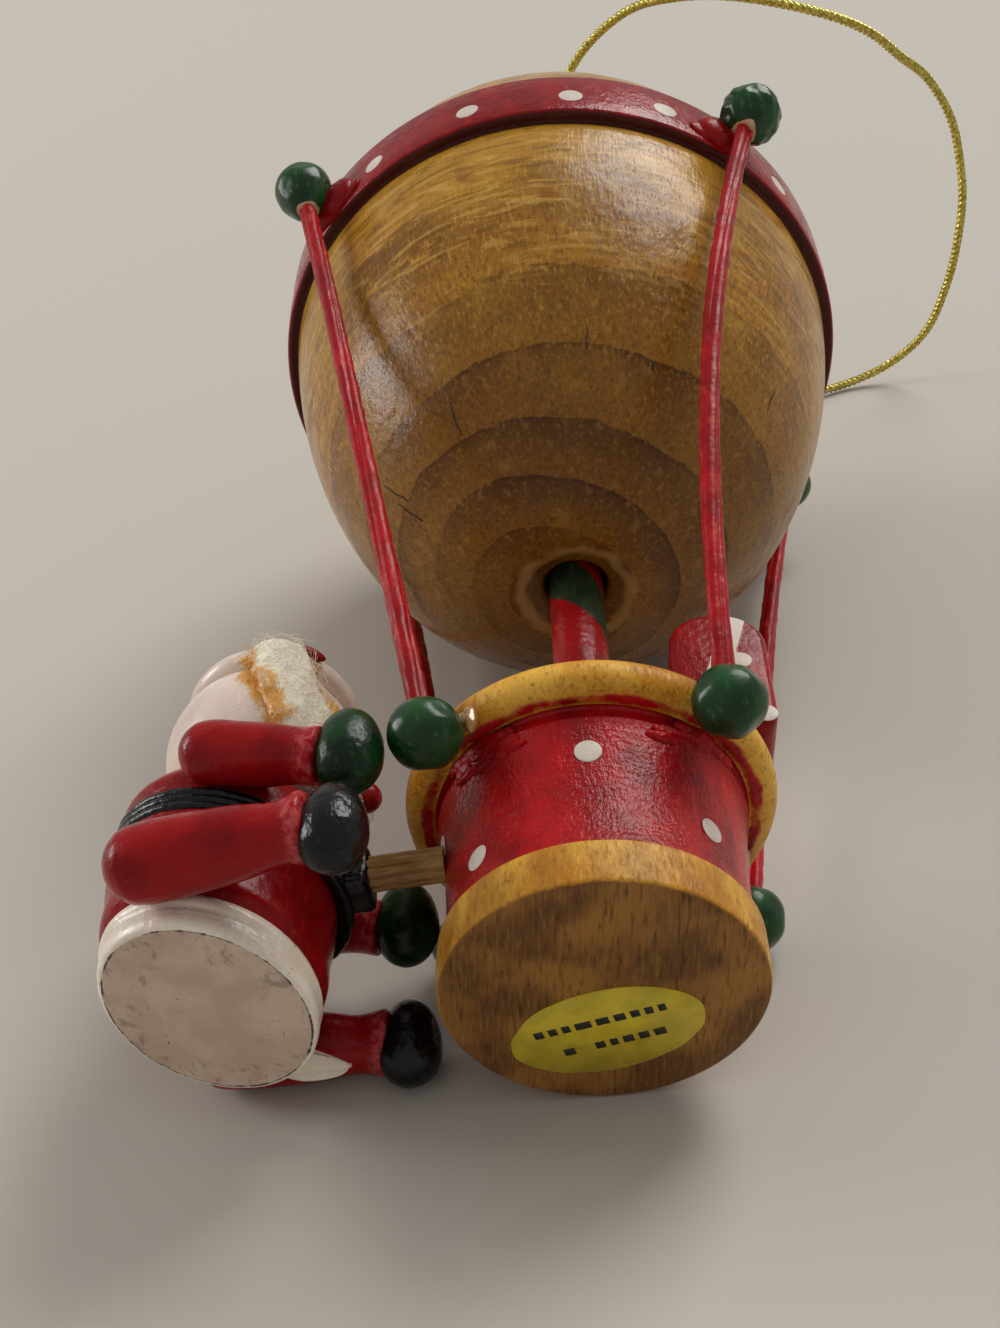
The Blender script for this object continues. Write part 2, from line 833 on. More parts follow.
@dataclass(frozen=True)
class BasketFinish:
    """The basket: a red wall between a stained rim and a stained base, brown below."""

    wood: StainedWood
    under: StainedWood
    paint: GlossPaint
    base_top: float
    rim_bottom: float
    dish_radius: float
    edge_dark: Colour = tint(150, 92, 26)

    def material(self, place: OrnamentFrame) -> Material:
        """Makes the material.

        Args:
            place: the ornament's frame.

        Returns:
            The material.
        """
        s = Surface("painted basket", place)
        wood = self.wood.skin(s)
        below = s.ramp(s.times_plus(s.noise(s.place, 0.5, 3.0, 2.6), 0.3, s.z), 0.42, 0.22)
        inside = s.ramp(s.radius(), self.dish_radius + 0.6, self.dish_radius)
        inside = s.times(inside, s.ramp(s.z, 12.0, 12.5))
        smudge = s.ramp(s.noise(s.stretched((0.5, 0.5, 0.2)), 1.0, 3.0, 9.1), 0.3, 0.7)
        edge = s.times_plus(s.times(s.ramp(s.z, 8.0, 7.0), smudge), 0.5, 0.1)
        wood = Skin(s.blend(edge, wood.colour, self.edge_dark), wood.roughness, wood.height)
        wood = s.over(s.math("MAXIMUM", below, inside), wood, self.under.skin(s))
        wander = s.times_plus(s.noise(s.place, 0.45, 4.0, 5.8, 0.6), 0.36, s.minus(s.z, 0.18))
        above = s.ramp(wander, self.base_top - 0.05, self.base_top + 0.03)
        in_groove = s.times(s.ramp(s.radius(), 13.3, 13.1), s.ramp(wander, 19.5, 19.3))
        under_rim = s.ramp(wander, self.rim_bottom + 0.05, self.rim_bottom - 0.05)
        wall = s.times(above, s.math("MAXIMUM", under_rim, in_groove))
        wall = s.times(wall, s.ramp(s.radius(), self.dish_radius, 12.0))
        skin = s.over(wall, wood, self.paint.skin(s), 0.05)
        return s.finish(skin, Specular_IOR_Level=0.22)


@dataclass(frozen=True)
class SpiralPaint:
    """Red paint with one green stripe that winds round the pole."""

    red: GlossPaint
    green: GlossPaint
    start: float
    pitch: float = 16.4
    share: float = 0.42
    blur: float = 0.012

    def material(self, place: OrnamentFrame) -> Material:
        """Makes the material.

        Args:
            place: the ornament's frame.

        Returns:
            The striped material.
        """
        s = Surface("striped pole paint", place)
        bearing = s.math("DIVIDE", s.math("ARCTAN2", s.y, s.x), 2 * math.pi)
        climb = s.math("DIVIDE", s.minus(s.z, self.start), self.pitch)
        phase = s.math("FRACT", s.plus(s.plus(bearing, climb), 4.0))
        wander = s.times_plus(s.noise(s.place, 0.5, 2.0, 3.0), 0.06, s.minus(phase, 0.03))
        stripe = s.times(s.ramp(wander, 0.0, self.blur), s.ramp(wander, self.share, self.share - self.blur))
        skin = s.over(stripe, self.red.skin(s), self.green.skin(s), 0.03)
        return s.finish(skin, Specular_IOR_Level=0.16)


@dataclass(frozen=True)
class RibbonPaint:
    """Red paint with one slanting white ribbon painted round it."""

    red: GlossPaint
    white: GlossPaint
    foot: float = -2.2
    slant: float = 0.28
    half: float = 1.05
    blur: float = 0.04

    def material(self, place: OrnamentFrame) -> Material:
        """Makes the material.

        Args:
            place: the parcel's frame.

        Returns:
            The material.
        """
        s = Surface("parcel paint", place)
        middle = s.times_plus(s.z, self.slant, self.foot)
        away = s.math("ABSOLUTE", s.minus(s.x, middle))
        ragged = s.times_plus(s.noise(s.place, 1.1, 4.0, 3.6, 0.65), 0.5, s.minus(away, 0.25))
        share = s.ramp(ragged, self.half + self.blur, self.half - self.blur)
        skin = s.over(share, self.red.skin(s), self.white.skin(s), 0.06)
        return s.finish(skin, Specular_IOR_Level=0.16)


@dataclass(frozen=True)
class WornWhite:
    """Warm white paint, scuffed with a dark cracked line round the underside."""

    paint: GlossPaint
    disc_radius: float
    tilt: tuple[float, float, float]
    rubbed: Colour = tint(196, 168, 146)
    clean: Colour = tint(212, 186, 166)
    dirt: Colour = tint(128, 112, 102)
    scratched: Colour = tint(70, 58, 52)
    cracked: Colour = tint(58, 42, 34)

    def material(self, place: OrnamentFrame) -> Material:
        """Makes the material.

        Args:
            place: the figure's frame.

        Returns:
            The material.
        """
        s = Surface("worn white paint", place)
        skin = self.paint.skin(s)
        z = s.times_plus(s.x, -self.tilt[0], s.minus(s.z, self.tilt[2]))
        z = s.times_plus(s.y, -self.tilt[1], z)
        radius, edge = s.radius(), self.disc_radius
        sole = s.times(s.ramp(z, 0.3, 0.12), s.ramp(radius, edge + 0.1, edge - 0.1))
        cloud = s.noise(s.place, 0.25, 4.0, 4.4, 0.6)
        base = s.blend(s.ramp(cloud, 0.35, 0.65), self.rubbed, self.clean)
        smear = s.noise(s.stretched((0.5, 0.35, 0.5)), 1.0, 6.0, 7.2, 0.75, 0.8)
        soiled = s.ramp(s.times_plus(s.ramp(radius, 2.0, edge), 0.12, smear), 0.61, 0.73)
        base = s.layered(base, [(soiled, 0.6, self.dirt)])
        scratch = s.noise(s.stretched((2.6, 0.8, 1.0)), 1.0, 4.0, 1.4, 0.7, 2.0)
        marks = s.times(s.ramp(scratch, 0.64, 0.69), s.ramp(s.noise(s.place, 0.22, 2.0, 6.0), 0.48, 0.58))
        marks = s.times(marks, sole)
        away = s.math("ABSOLUTE", s.minus(radius, edge))
        broken = s.times_plus(s.noise(s.place, 0.6, 4.0, 2.1, 0.7), 0.6, away)
        crack = s.times(s.ramp(broken, 0.38, 0.28), s.ramp(z, 0.7, 0.4))
        colour = s.blend(sole, skin.colour, base)
        colour = s.layered(colour, [(marks, 1.0, self.scratched), (crack, 1.0, self.cracked)])
        height = s.relief([(crack, -0.08), (marks, -0.03)], skin.height)
        rough = s.mix(sole, skin.roughness, 0.5)
        return s.finish(Skin(colour, rough, height), Coat_Weight=0.1, Coat_Roughness=0.2)


@dataclass(frozen=True)
class GlueStreaks:
    """Yellow glue that squeezed out along both edges of the cotton, on both cheeks."""

    rear: tuple = ((0.5, 8.3, 4.6), (1.2, 8.3, 3.0), (2.2, 8.5, 1.2), (2.9, 8.4, -0.6), (3.6, 8.0, -2.6))
    fore: tuple = ((5.5, 6.4, 6.2), (6.2, 5.9, 5.0), (6.8, 5.6, 3.6), (7.4, 5.0, 2.2), (7.9, 4.3, 0.8))
    rear_half: float = 1.3
    fore_half: float = 0.9
    thick: Colour = tint(226, 158, 0)
    thin: Colour = tint(244, 212, 112)

    def over(self, s: Surface, below: Skin) -> Skin:
        """Draws the glue on a surface of the head.

        Args:
            s: the surface, in the head's frame.
            below: what the glue lies on.

        Returns:
            The joined skin.
        """
        either = s.add("ShaderNodeCombineXYZ", {0: s.x, 1: s.math("ABSOLUTE", s.y), 2: s.z}).outputs[0]
        ragged = s.minus(s.noise(s.place, 0.9, 4.0, 5.1, 0.6), 0.5)
        shares = []
        for line, half in ((self.rear, self.rear_half), (self.fore, self.fore_half)):
            away = s.math("DIVIDE", s.away_from(line, either), half)
            shares.append(s.ramp(s.times_plus(ragged, 2.6, away), 1.35, 0.6))
        share = s.math("MAXIMUM", *shares)
        colour = s.blend(s.ramp(share, 0.1, 0.6), self.thin, self.thick)
        ripple = s.times(s.noise(s.place, 1.8, 2.0, 1.9), 0.12)
        return s.over(s.times(share, 0.95), below, Skin(colour, s.mix(share, 0.3, 0.14), ripple), 0.12)


@dataclass(frozen=True)
class GluedWhite:
    """The head's white paint with the glue beside the cotton."""

    paint: GlossPaint

    def material(self, place: OrnamentFrame) -> Material:
        """Makes the material in the head's frame."""
        s = Surface("head paint and glue", place)
        return s.finish(GlueStreaks().over(s, self.paint.skin(s)), Specular_IOR_Level=0.4)


@dataclass(frozen=True)
class CottonFinish:
    """Matt cotton fibre, soaked with glue along its edges."""

    fluff: Colour = tint(254, 247, 226)
    shade: Colour = tint(246, 236, 212)

    def material(self, place: OrnamentFrame) -> Material:
        """Makes the material.

        Args:
            place: the head's frame.

        Returns:
            The material.
        """
        s = Surface("cotton wool", place)
        tangle = s.noise(s.place, 2.0, 5.0, 3.7, 0.7, 1.5)
        colour = s.blend(s.ramp(tangle, 0.35, 0.6), self.shade, self.fluff)
        height = s.times(tangle, 0.14)
        skin = GlueStreaks().over(s, Skin(colour, s.mix(tangle, 0.8, 0.95), height))
        return s.finish(skin, Sheen_Weight=0.35, Sheen_Roughness=0.7, Specular_IOR_Level=0.2)


@dataclass(frozen=True)
class GoldThread:
    """Metallic thread wound over a core."""

    bright: Colour = tint(236, 220, 120)
    deep: Colour = tint(158, 142, 52)

    def material(self, place: OrnamentFrame) -> Material:
        """Makes the material in a frame."""
        s = Surface("gold thread", place)
        glint = s.noise(s.place, 3.4, 3.0, 1.9, 0.7)
        colour = s.blend(s.ramp(glint, 0.38, 0.62), self.deep, self.bright)
        rough = s.mix(s.ramp(glint, 0.4, 0.7), 0.42, 0.22)
        height = s.times(s.noise(s.place, 5.0, 2.0, 7.0), 0.05)
        return s.finish(Skin(colour, rough, height), Metallic=0.85)


@dataclass(frozen=True)
class PlainFilm:
    """A thin smooth film: glue, a label's face or its print."""

    name: str
    colour: Colour
    shade: Colour
    roughness: float = 0.3
    coat: float = 0.3

    def material(self, place: OrnamentFrame) -> Material:
        """Makes the material in a frame."""
        s = Surface(self.name, place)
        cloud = s.noise(s.place, 0.45, 4.0, 2.8, 0.6)
        colour = s.blend(s.ramp(cloud, 0.36, 0.66), self.colour, self.shade)
        rough = s.mix(cloud, self.roughness * 0.8, self.roughness * 1.3)
        height = s.times(s.noise(s.place, 0.9, 3.0, 1.3), 0.03)
        return s.finish(Skin(colour, rough, height), Coat_Weight=self.coat, Coat_Roughness=0.1)


RED = GlossPaint(
    "red gloss paint", tint(154, 14, 19), tint(124, 8, 12), tint(168, 28, 30), 0.22, 0.08, 0.7, 0.03
)
BASKET_RED = GlossPaint(
    "red basket paint", tint(184, 14, 22), tint(132, 8, 14), tint(198, 34, 36), 0.22, 0.12, 0.42, 0.08
)
ROD_RED = GlossPaint(
    "red rod paint", tint(178, 18, 28), tint(138, 10, 18), tint(204, 78, 64), 0.34, 0.07, 0.6, 0.01
)
GREEN = GlossPaint(
    "green gloss paint", tint(34, 82, 40), tint(18, 50, 24), tint(60, 112, 60), 0.24, 0.08, 1.1, 0.006, 0.3
)
MITTEN_GREEN = GlossPaint(
    "dark green paint", tint(26, 60, 30), tint(13, 32, 16), tint(44, 84, 48), 0.26, 0.14, 1.0, 0.006, 0.2
)
POLE_GREEN = GlossPaint("pole green paint", tint(44, 58, 36), tint(30, 42, 26), tint(62, 76, 52), 0.3)
BLACK = GlossPaint(
    "blue-black paint", tint(17, 19, 21), tint(9, 9, 11), tint(36, 42, 46), 0.2, 0.14, 0.8, 0.03, 0.3
)
WHITE = GlossPaint(
    "warm white paint", tint(230, 212, 198), tint(216, 196, 184), tint(236, 222, 208), 0.22, 0.05, 1.4, 0.004
)
HEM_WHITE = GlossPaint(
    "cream hem paint", tint(246, 234, 216), tint(228, 214, 194), tint(250, 244, 232), 0.28, 0.12, 0.9, 0.01
)
DOT_WHITE = GlossPaint(
    "white dot paint", tint(224, 212, 200), tint(208, 194, 182), tint(232, 224, 214), 0.4, 0.02
)
RIM_WOOD = StainedWood(
    "yellow stained wood", tint(240, 186, 72), tint(208, 140, 30), tint(104, 58, 14), relief=0.12
)
UNDER_WOOD = StainedWood(
    "brown underside", tint(160, 110, 48), tint(112, 72, 32), tint(44, 27, 12), (2.6, 0.3, 2.6), 0.12, 0.4
)
CHIPPED = StainedWood("chipped wood", tint(222, 192, 158), tint(196, 152, 112), tint(132, 70, 48), relief=0.1)
PEG_WOOD = StainedWood(
    "bare dowel", tint(184, 144, 82), tint(142, 102, 52), tint(84, 56, 26), (0.5, 3.0, 3.0), 0.06, 0.55
)
GLUE = PlainFilm("dried glue", tint(150, 104, 44), tint(196, 152, 84), 0.12, 0.8)
LABEL = PlainFilm("label film", tint(220, 194, 30), tint(196, 170, 22), 0.42, 0.1)
PRINT = PlainFilm("label marks", tint(24, 20, 12), tint(34, 30, 18), 0.5, 0.0)
CRACK = PlainFilm("dark crack", tint(40, 22, 10), tint(62, 36, 16), 0.6, 0.0)


class Shaping(Graph):
    """A Geometry Nodes tree with named inputs, run once to give a plain mesh."""

    def __init__(self, name: str, inputs: Sequence[tuple[str, str]]) -> None:
        """Makes the tree and its sockets.

        Args:
            name: the tree's name.
            inputs: name and kind of each input, the first of them the geometry.
        """
        tree = bpy.data.node_groups.new(name, "GeometryNodeTree")
        super().__init__(tree)
        self.sockets: dict[str, str] = {}
        for label, kind in inputs:
            item = tree.interface.new_socket(label, in_out="INPUT", socket_type=f"NodeSocket{kind}")
            self.sockets[label] = item.identifier
        tree.interface.new_socket("Geometry", in_out="OUTPUT", socket_type="NodeSocketGeometry")
        self.entry = self.add("NodeGroupInput").outputs

    def position(self) -> Socket:
        """The place of each point."""
        return self.add("GeometryNodeInputPosition").outputs[0]

    def displaced(self, geometry: object, amount: object, size: object, seed: object) -> Socket:
        """Moves a surface in and out a little.

        Args:
            geometry: the mesh.
            amount: how far from the lowest to the highest spot.
            size: size of a spot.
            seed: number that picks the pattern.

        Returns:
            The moved mesh.
        """
        value = self.noise(self.position(), self.math("DIVIDE", 1.0, size), 2.0, seed)
        shift = self.times(self.minus(value, 0.5), amount)
        offset = self.scaled(self.add("GeometryNodeInputNormal").outputs[0], shift)
        return self.add("GeometryNodeSetPosition", {"Geometry": geometry, "Offset": offset}).outputs[0]

    def close(self, geometry: object) -> None:
        """Ends the tree: smooth shading, real geometry and the finish.

        Args:
            geometry: the mesh or the instances.
        """
        smooth = self.add("GeometryNodeSetShadeSmooth", {"Geometry": geometry}).outputs[0]
        real = self.add("GeometryNodeRealizeInstances", {"Geometry": smooth}).outputs[0]
        inputs = {"Geometry": real, "Material": self.entry["Finish"]}
        done = self.add("GeometryNodeSetMaterial", inputs).outputs[0]
        self.add("NodeGroupOutput", {"Geometry": done})

    def run(self, source: Mesh, values: dict[str, object]) -> Mesh:
        """Runs the tree on a mesh.

        Args:
            source: the mesh that goes in.
            values: the value of each named input.

        Returns:
            The plain mesh that comes out.
        """
        carrier = bpy.data.objects.new("carrier", source)
        bpy.context.scene.collection.objects.link(carrier)
        modifier = carrier.modifiers.new("shape", "NODES")
        modifier.node_group = self.tree
        for label, value in values.items():
            modifier[self.sockets[label]] = value
        graph = bpy.context.evaluated_depsgraph_get()
        result = bpy.data.meshes.new_from_object(carrier.evaluated_get(graph), depsgraph=graph)
        carrier.modifiers.remove(modifier)
        bpy.data.objects.remove(carrier)
        bpy.data.meshes.remove(source)
        return result


def wire(points: Iterable[Point]) -> Mesh:
    """A mesh of points joined by edges.

    Args:
        points: the points, in order.

    Returns:
        The mesh.
    """
    corners = [tuple(point) for point in points]
    mesh = bpy.data.meshes.new("wire")
    mesh.from_pydata(corners, [(i, i + 1) for i in range(len(corners) - 1)], [])
    return mesh


class Lathe:
    """Turns a profile round the upright axis, as the real pieces were turned."""

    def __init__(self) -> None:
        """Builds the tree once."""
        kinds = [("Profile", "Geometry"), ("Steps around", "Int"), ("Unevenness", "Float")]
        kinds += [("Patch size", "Float"), ("Seed", "Float"), ("Finish", "Material")]
        self.tree = Shaping("turned form", kinds)
        t = self.tree
        entry = t.entry
        count = t.add("GeometryNodeAttributeDomainSize", {0: entry["Profile"]}).outputs["Point Count"]
        inputs = {"Size X": 1.0, "Size Y": 1.0, "Vertices Y": count}
        inputs["Vertices X"] = t.plus(entry["Steps around"], 1.0)
        sheet = t.add("GeometryNodeMeshGrid", inputs).outputs["Mesh"]
        parts = t.add("ShaderNodeSeparateXYZ", {0: t.position()})
        angle = t.times(t.plus(parts.outputs[0], 0.5), 2 * math.pi)
        row = t.times(t.plus(parts.outputs[1], 0.5), t.minus(count, 1.0))
        picked = t.add("GeometryNodeSampleIndex", data_type="FLOAT_VECTOR", domain="POINT")
        t.feed(picked.inputs["Geometry"], entry["Profile"])
        t.feed(picked.inputs["Value"], t.position())
        t.feed(picked.inputs["Index"], t.math("ROUND", row))
        point = t.add("ShaderNodeSeparateXYZ", {0: picked.outputs[0]})
        x = t.times(point.outputs[0], t.math("COSINE", angle))
        y = t.times(point.outputs[0], t.math("SINE", angle))
        place = t.add("ShaderNodeCombineXYZ", {0: x, 1: y, 2: point.outputs[2]}).outputs[0]
        turned = t.add("GeometryNodeSetPosition", {"Geometry": sheet, "Position": place}).outputs[0]
        closed = t.add("GeometryNodeMergeByDistance", {"Geometry": turned, "Distance": 0.0005}).outputs[0]
        t.close(t.displaced(closed, entry["Unevenness"], entry["Patch size"], entry["Seed"]))

    def turn(
        self, profile: Profile, finish: Material, steps: int, unevenness: float, patch: float, seed: float
    ) -> Mesh:
        """Turns a profile.

        Args:
            profile: radius and height pairs from the axis below to the axis above.
            finish: the material.
            steps: how many faces go round.
            unevenness: how far the hand-finished surface wanders, in millimetres.
            patch: size of its uneven patches.
            seed: number that picks their pattern.

        Returns:
            The closed mesh, in millimetres about the upright axis.
        """
        source = wire((radius, 0.0, height) for radius, height in profile)
        values = {"Steps around": steps, "Unevenness": unevenness, "Patch size": patch}
        return self.tree.run(source, values | {"Seed": seed, "Finish": finish})


class FlutedSweep:
    """Draws a grooved section along a path: bundled reeds, a fluted dowel or a twisted thread."""

    def __init__(self) -> None:
        """Builds the tree once."""
        kinds = [("Path", "Geometry"), ("Radius", "Float"), ("Lobes", "Float"), ("Groove", "Float")]
        kinds += [("Turns", "Float"), ("Sides", "Int"), ("Step", "Float"), ("Unevenness", "Float")]
        kinds += [("Patch size", "Float"), ("Seed", "Float"), ("Finish", "Material")]
        self.tree = Shaping("fluted sweep", kinds)
        t = self.tree
        entry = t.entry
        line = t.add("GeometryNodeMeshToCurve", {"Mesh": entry["Path"]}).outputs[0]
        inputs = {"Curve": line, "Length": entry["Step"]}
        even = t.add("GeometryNodeResampleCurve", inputs, mode="LENGTH").outputs[0]
        along = t.add("GeometryNodeSplineParameter").outputs["Factor"]
        tilt = t.times(t.times(along, entry["Turns"]), 2 * math.pi)
        wound = t.add("GeometryNodeSetCurveTilt", {"Curve": even, "Tilt": tilt}).outputs[0]
        inputs = {"Resolution": entry["Sides"], "Radius": 1.0}
        ring = t.add("GeometryNodeCurvePrimitiveCircle", inputs).outputs[0]
        parts = t.add("ShaderNodeSeparateXYZ", {0: t.position()})
        bearing = t.math("ARCTAN2", parts.outputs[1], parts.outputs[0])
        wave = t.math("COSINE", t.times(t.times(bearing, entry["Lobes"]), 0.5))
        dip = t.minus(1.0, t.math("ABSOLUTE", wave))
        reach = t.minus(1.0, t.times(t.math("POWER", dip, 1.5), entry["Groove"]))
        reach = t.times(reach, entry["Radius"])
        grooved = t.scaled(t.position(), reach)
        section = t.add("GeometryNodeSetPosition", {"Geometry": ring, "Position": grooved}).outputs[0]
        inputs = {"Curve": wound, "Profile Curve": section, "Fill Caps": True}
        swept = t.add("GeometryNodeCurveToMesh", inputs).outputs[0]
        t.close(t.displaced(swept, entry["Unevenness"], entry["Patch size"], entry["Seed"]))

    def draw(
        self, path: Iterable[Point], finish: Material, radius: float, lobes: float, groove: float,
        turns: float, sides: int, step: float, unevenness: float, seed: float = 0.0,
    ) -> Mesh:
        """Sweeps the section.

        Args:
            path: points along the middle.
            finish: the material.
            radius: outer radius of the lobes.
            lobes: how many of them there are.
            groove: depth between them, as a share of the radius.
            turns: full turns from one end to the other.
            sides: how many points go round.
            step: distance between sections.
            unevenness: how far the surface wanders.
            seed: number that picks its pattern.

        Returns:
            The closed mesh.
        """
        values = {"Radius": radius, "Lobes": lobes, "Groove": groove, "Turns": turns, "Sides": sides}
        values |= {"Step": step, "Unevenness": unevenness, "Patch size": 1.6, "Seed": seed, "Finish": finish}
        return self.tree.run(wire(path), values)


@dataclass(frozen=True)
class Dab:
    """One dab of paint or glue: where it sits, which way it faces and its half sizes."""

    place: Vector
    out: Vector
    size: tuple[float, float, float]
    along: Vector = field(default_factory=lambda: Vector((0.0, 0.0, 1.0)))

    def turn(self) -> Matrix:
        """The turn that takes +X along the dab and +Z out of the surface."""
        z = self.out.normalized()
        x = (self.along - z * self.along.dot(z)).normalized()
        return Matrix((x, z.cross(x), z)).transposed()


class Dabs:
    """Sets small domed dabs of paint or glue on a surface."""

    seed: float = 2.0

    def __init__(self) -> None:
        """Builds the tree once."""
        kinds = [("Places", "Geometry"), ("Unevenness", "Float"), ("Patch size", "Float"), ("Seed", "Float")]
        self.tree = Shaping("paint dabs", kinds + [("Finish", "Material")])
        t = self.tree
        entry = t.entry
        ball = t.add("GeometryNodeMeshUVSphere", {"Segments": 28, "Rings": 14, "Radius": 1.0}).outputs["Mesh"]
        turn, size = (
            t.add("GeometryNodeInputNamedAttribute", {"Name": name}, data_type="FLOAT_VECTOR").outputs[0]
            for name in ("turn", "size")
        )
        turned = t.add("FunctionNodeEulerToRotation", {0: turn}).outputs[0]
        inputs = {"Points": entry["Places"], "Instance": ball, "Rotation": turned, "Scale": size}
        dots = t.add("GeometryNodeInstanceOnPoints", inputs).outputs[0]
        real = t.add("GeometryNodeRealizeInstances", {"Geometry": dots}).outputs[0]
        t.close(t.displaced(real, entry["Unevenness"], entry["Patch size"], entry["Seed"]))

    def set(
        self, dabs: Sequence[Dab], finish: Material, unevenness: float = 0.05, patch: float = 0.8
    ) -> Mesh:
        """Sets the dabs.

        Args:
            dabs: the dabs.
            finish: the material.
            unevenness: how far their surface wanders, in millimetres.
            patch: size of its uneven patches.

        Returns:
            The mesh of all the dabs.
        """
        source = bpy.data.meshes.new("places")
        source.from_pydata([tuple(dab.place) for dab in dabs], [], [])
        turns, sizes = (source.attributes.new(name, "FLOAT_VECTOR", "POINT") for name in ("turn", "size"))
        for i, dab in enumerate(dabs):
            turns.data[i].vector = tuple(dab.turn().to_euler())
            sizes.data[i].vector = dab.size
        values = {"Unevenness": unevenness, "Patch size": patch, "Seed": self.seed, "Finish": finish}
        return self.tree.run(source, values)


def wall_dab(radius: float, degrees: float, height: float, size: Point, lean: float = 0.0) -> Dab:
    """A dab on a turned wall.

    Args:
        radius: the wall's radius there.
        degrees: the dab's bearing.
        height: the dab's height.
        size: half sizes upward, sideways and outward.
        lean: how much the wall widens per unit of height.

    Returns:
        The dab.
    """
    return Dab(polar(radius, degrees, height), polar(1.0, degrees, -lean), tuple(size))


class CottonFibres:
    """Scatters short curved fibres over a tuft of cotton."""

    seed: int = 11
    least_turn: Point = (-0.9, -0.9, 0.0)
    most_turn: Point = (0.9, 0.9, 6.283)
    least_size: float = 0.5
    most_size: float = 1.2

    def __init__(self) -> None:
        """Builds the tree once."""
        kinds = [("Tuft", "Geometry"), ("Fibres", "Float"), ("Length", "Float"), ("Thickness", "Float")]
        self.tree = Shaping("cotton fibres", kinds + [("Seed", "Int"), ("Finish", "Material")])
        t = self.tree
        entry = t.entry
        inputs = {"Mesh": entry["Tuft"], "Density": entry["Fibres"], "Seed": entry["Seed"]}
        spread = t.add("GeometryNodeDistributePointsOnFaces", inputs, distribute_method="RANDOM")
        half = t.times(entry["Length"], 0.5)
        start = t.add("ShaderNodeCombineXYZ", {0: t.times(half, -1.0), 1: 0.0, 2: 0.0}).outputs[0]
        inputs = {0: 0.0, 1: t.times(half, 0.35), 2: t.times(half, 0.7)}
        middle = t.add("ShaderNodeCombineXYZ", inputs).outputs[0]
        end = t.add("ShaderNodeCombineXYZ", {0: half, 1: 0.0, 2: t.times(half, 0.1)}).outputs[0]
        inputs = {"Resolution": 5, "Start": start, "Middle": middle, "End": end}
        bow = t.add("GeometryNodeCurveQuadraticBezier", inputs).outputs[0]
        inputs = {"Resolution": 3, "Radius": entry["Thickness"]}
        ring = t.add("GeometryNodeCurvePrimitiveCircle", inputs).outputs[0]
        inputs = {"Curve": bow, "Profile Curve": ring, "Fill Caps": True}
        hair = t.add("GeometryNodeCurveToMesh", inputs).outputs[0]
        spin = t.add("FunctionNodeRandomValue", {"Seed": entry["Seed"]}, data_type="FLOAT_VECTOR")
        spin.inputs[0].default_value = self.least_turn
        spin.inputs[1].default_value = self.most_turn
        own = t.add("FunctionNodeEulerToRotation", {0: spin.outputs[0]}).outputs[0]
        inputs = {0: spread.outputs["Rotation"], 1: own}
        turn = t.add("FunctionNodeRotateRotation", inputs, rotation_space="LOCAL")
        size = t.add("FunctionNodeRandomValue", {"Seed": entry["Seed"]}, data_type="FLOAT")
        size.inputs[2].default_value = self.least_size
        size.inputs[3].default_value = self.most_size
        inputs = {"Points": spread.outputs["Points"], "Instance": hair, "Rotation": turn.outputs[0]}
        inputs["Scale"] = size.outputs[1]
        t.close(t.add("GeometryNodeInstanceOnPoints", inputs).outputs[0])

    def grow(self, tuft: Mesh, finish: Material, density: float, length: float, thickness: float) -> Mesh:
        """Grows the fibres.

        Args:
            tuft: the solid core, used up by this.
            finish: the material.
            density: fibres per square millimetre.
            length: their greatest length.
            thickness: a fibre's radius.

        Returns:
            The mesh of all the fibres.
        """
        values = {"Fibres": density, "Length": length, "Thickness": thickness, "Seed": self.seed}
        return self.tree.run(tuft, values | {"Finish": finish})


def tidy_mesh(mesh: Mesh, merge: float = 0.0004) -> None:
    """Merges a mesh's doubles, turns its faces outwards and shades it smooth.

    Args:
        mesh: the mesh, which is changed.
        merge: how close corners are doubles, in the mesh's own unit.
    """
    work = bmesh.new()
    work.from_mesh(mesh)
    bmesh.ops.remove_doubles(work, verts=work.verts, dist=merge)
    bmesh.ops.recalc_face_normals(work, faces=work.faces)
    for face in work.faces:
        face.smooth = True
    work.to_mesh(mesh)
    work.free()


@dataclass
class Bench:
    """What every piece needs while it is made."""

    frame: OrnamentFrame
    lathe: Lathe
    sweep: FlutedSweep
    dabs: Dabs
    fibres: CottonFibres
    made: list[str] = field(default_factory=list)

    def fit(
        self, name: str, mesh: Mesh, place: OrnamentFrame, nodes: Sequence[str] = (),
        finish: Material | None = None,
    ) -> bpy.types.Object:
        """Puts a finished mesh in its place and hands it to the model.

        Args:
            name: the piece's name.
            mesh: its mesh, in millimetres in its own frame.
            place: that frame.
            nodes: the CAD nodes that it stands for.
            finish: a material, where the mesh has none yet.

        Returns:
            The piece.
        """
        tidy_mesh(mesh)
        mesh.transform(place.matrix)
        mesh.update()
        if finish is not None:
            mesh.materials.clear()
            mesh.materials.append(finish)
        piece = bpy.data.objects.new(name, mesh)
        mesh.name = name
        bpy.context.scene.collection.objects.link(piece)
        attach(piece, "root")
        if nodes:
            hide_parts(*nodes)
        self.made.append(name)
        LOG.info("%s: %d faces, for %s", name, len(mesh.polygons), ", ".join(nodes) or "no node")
        return piece


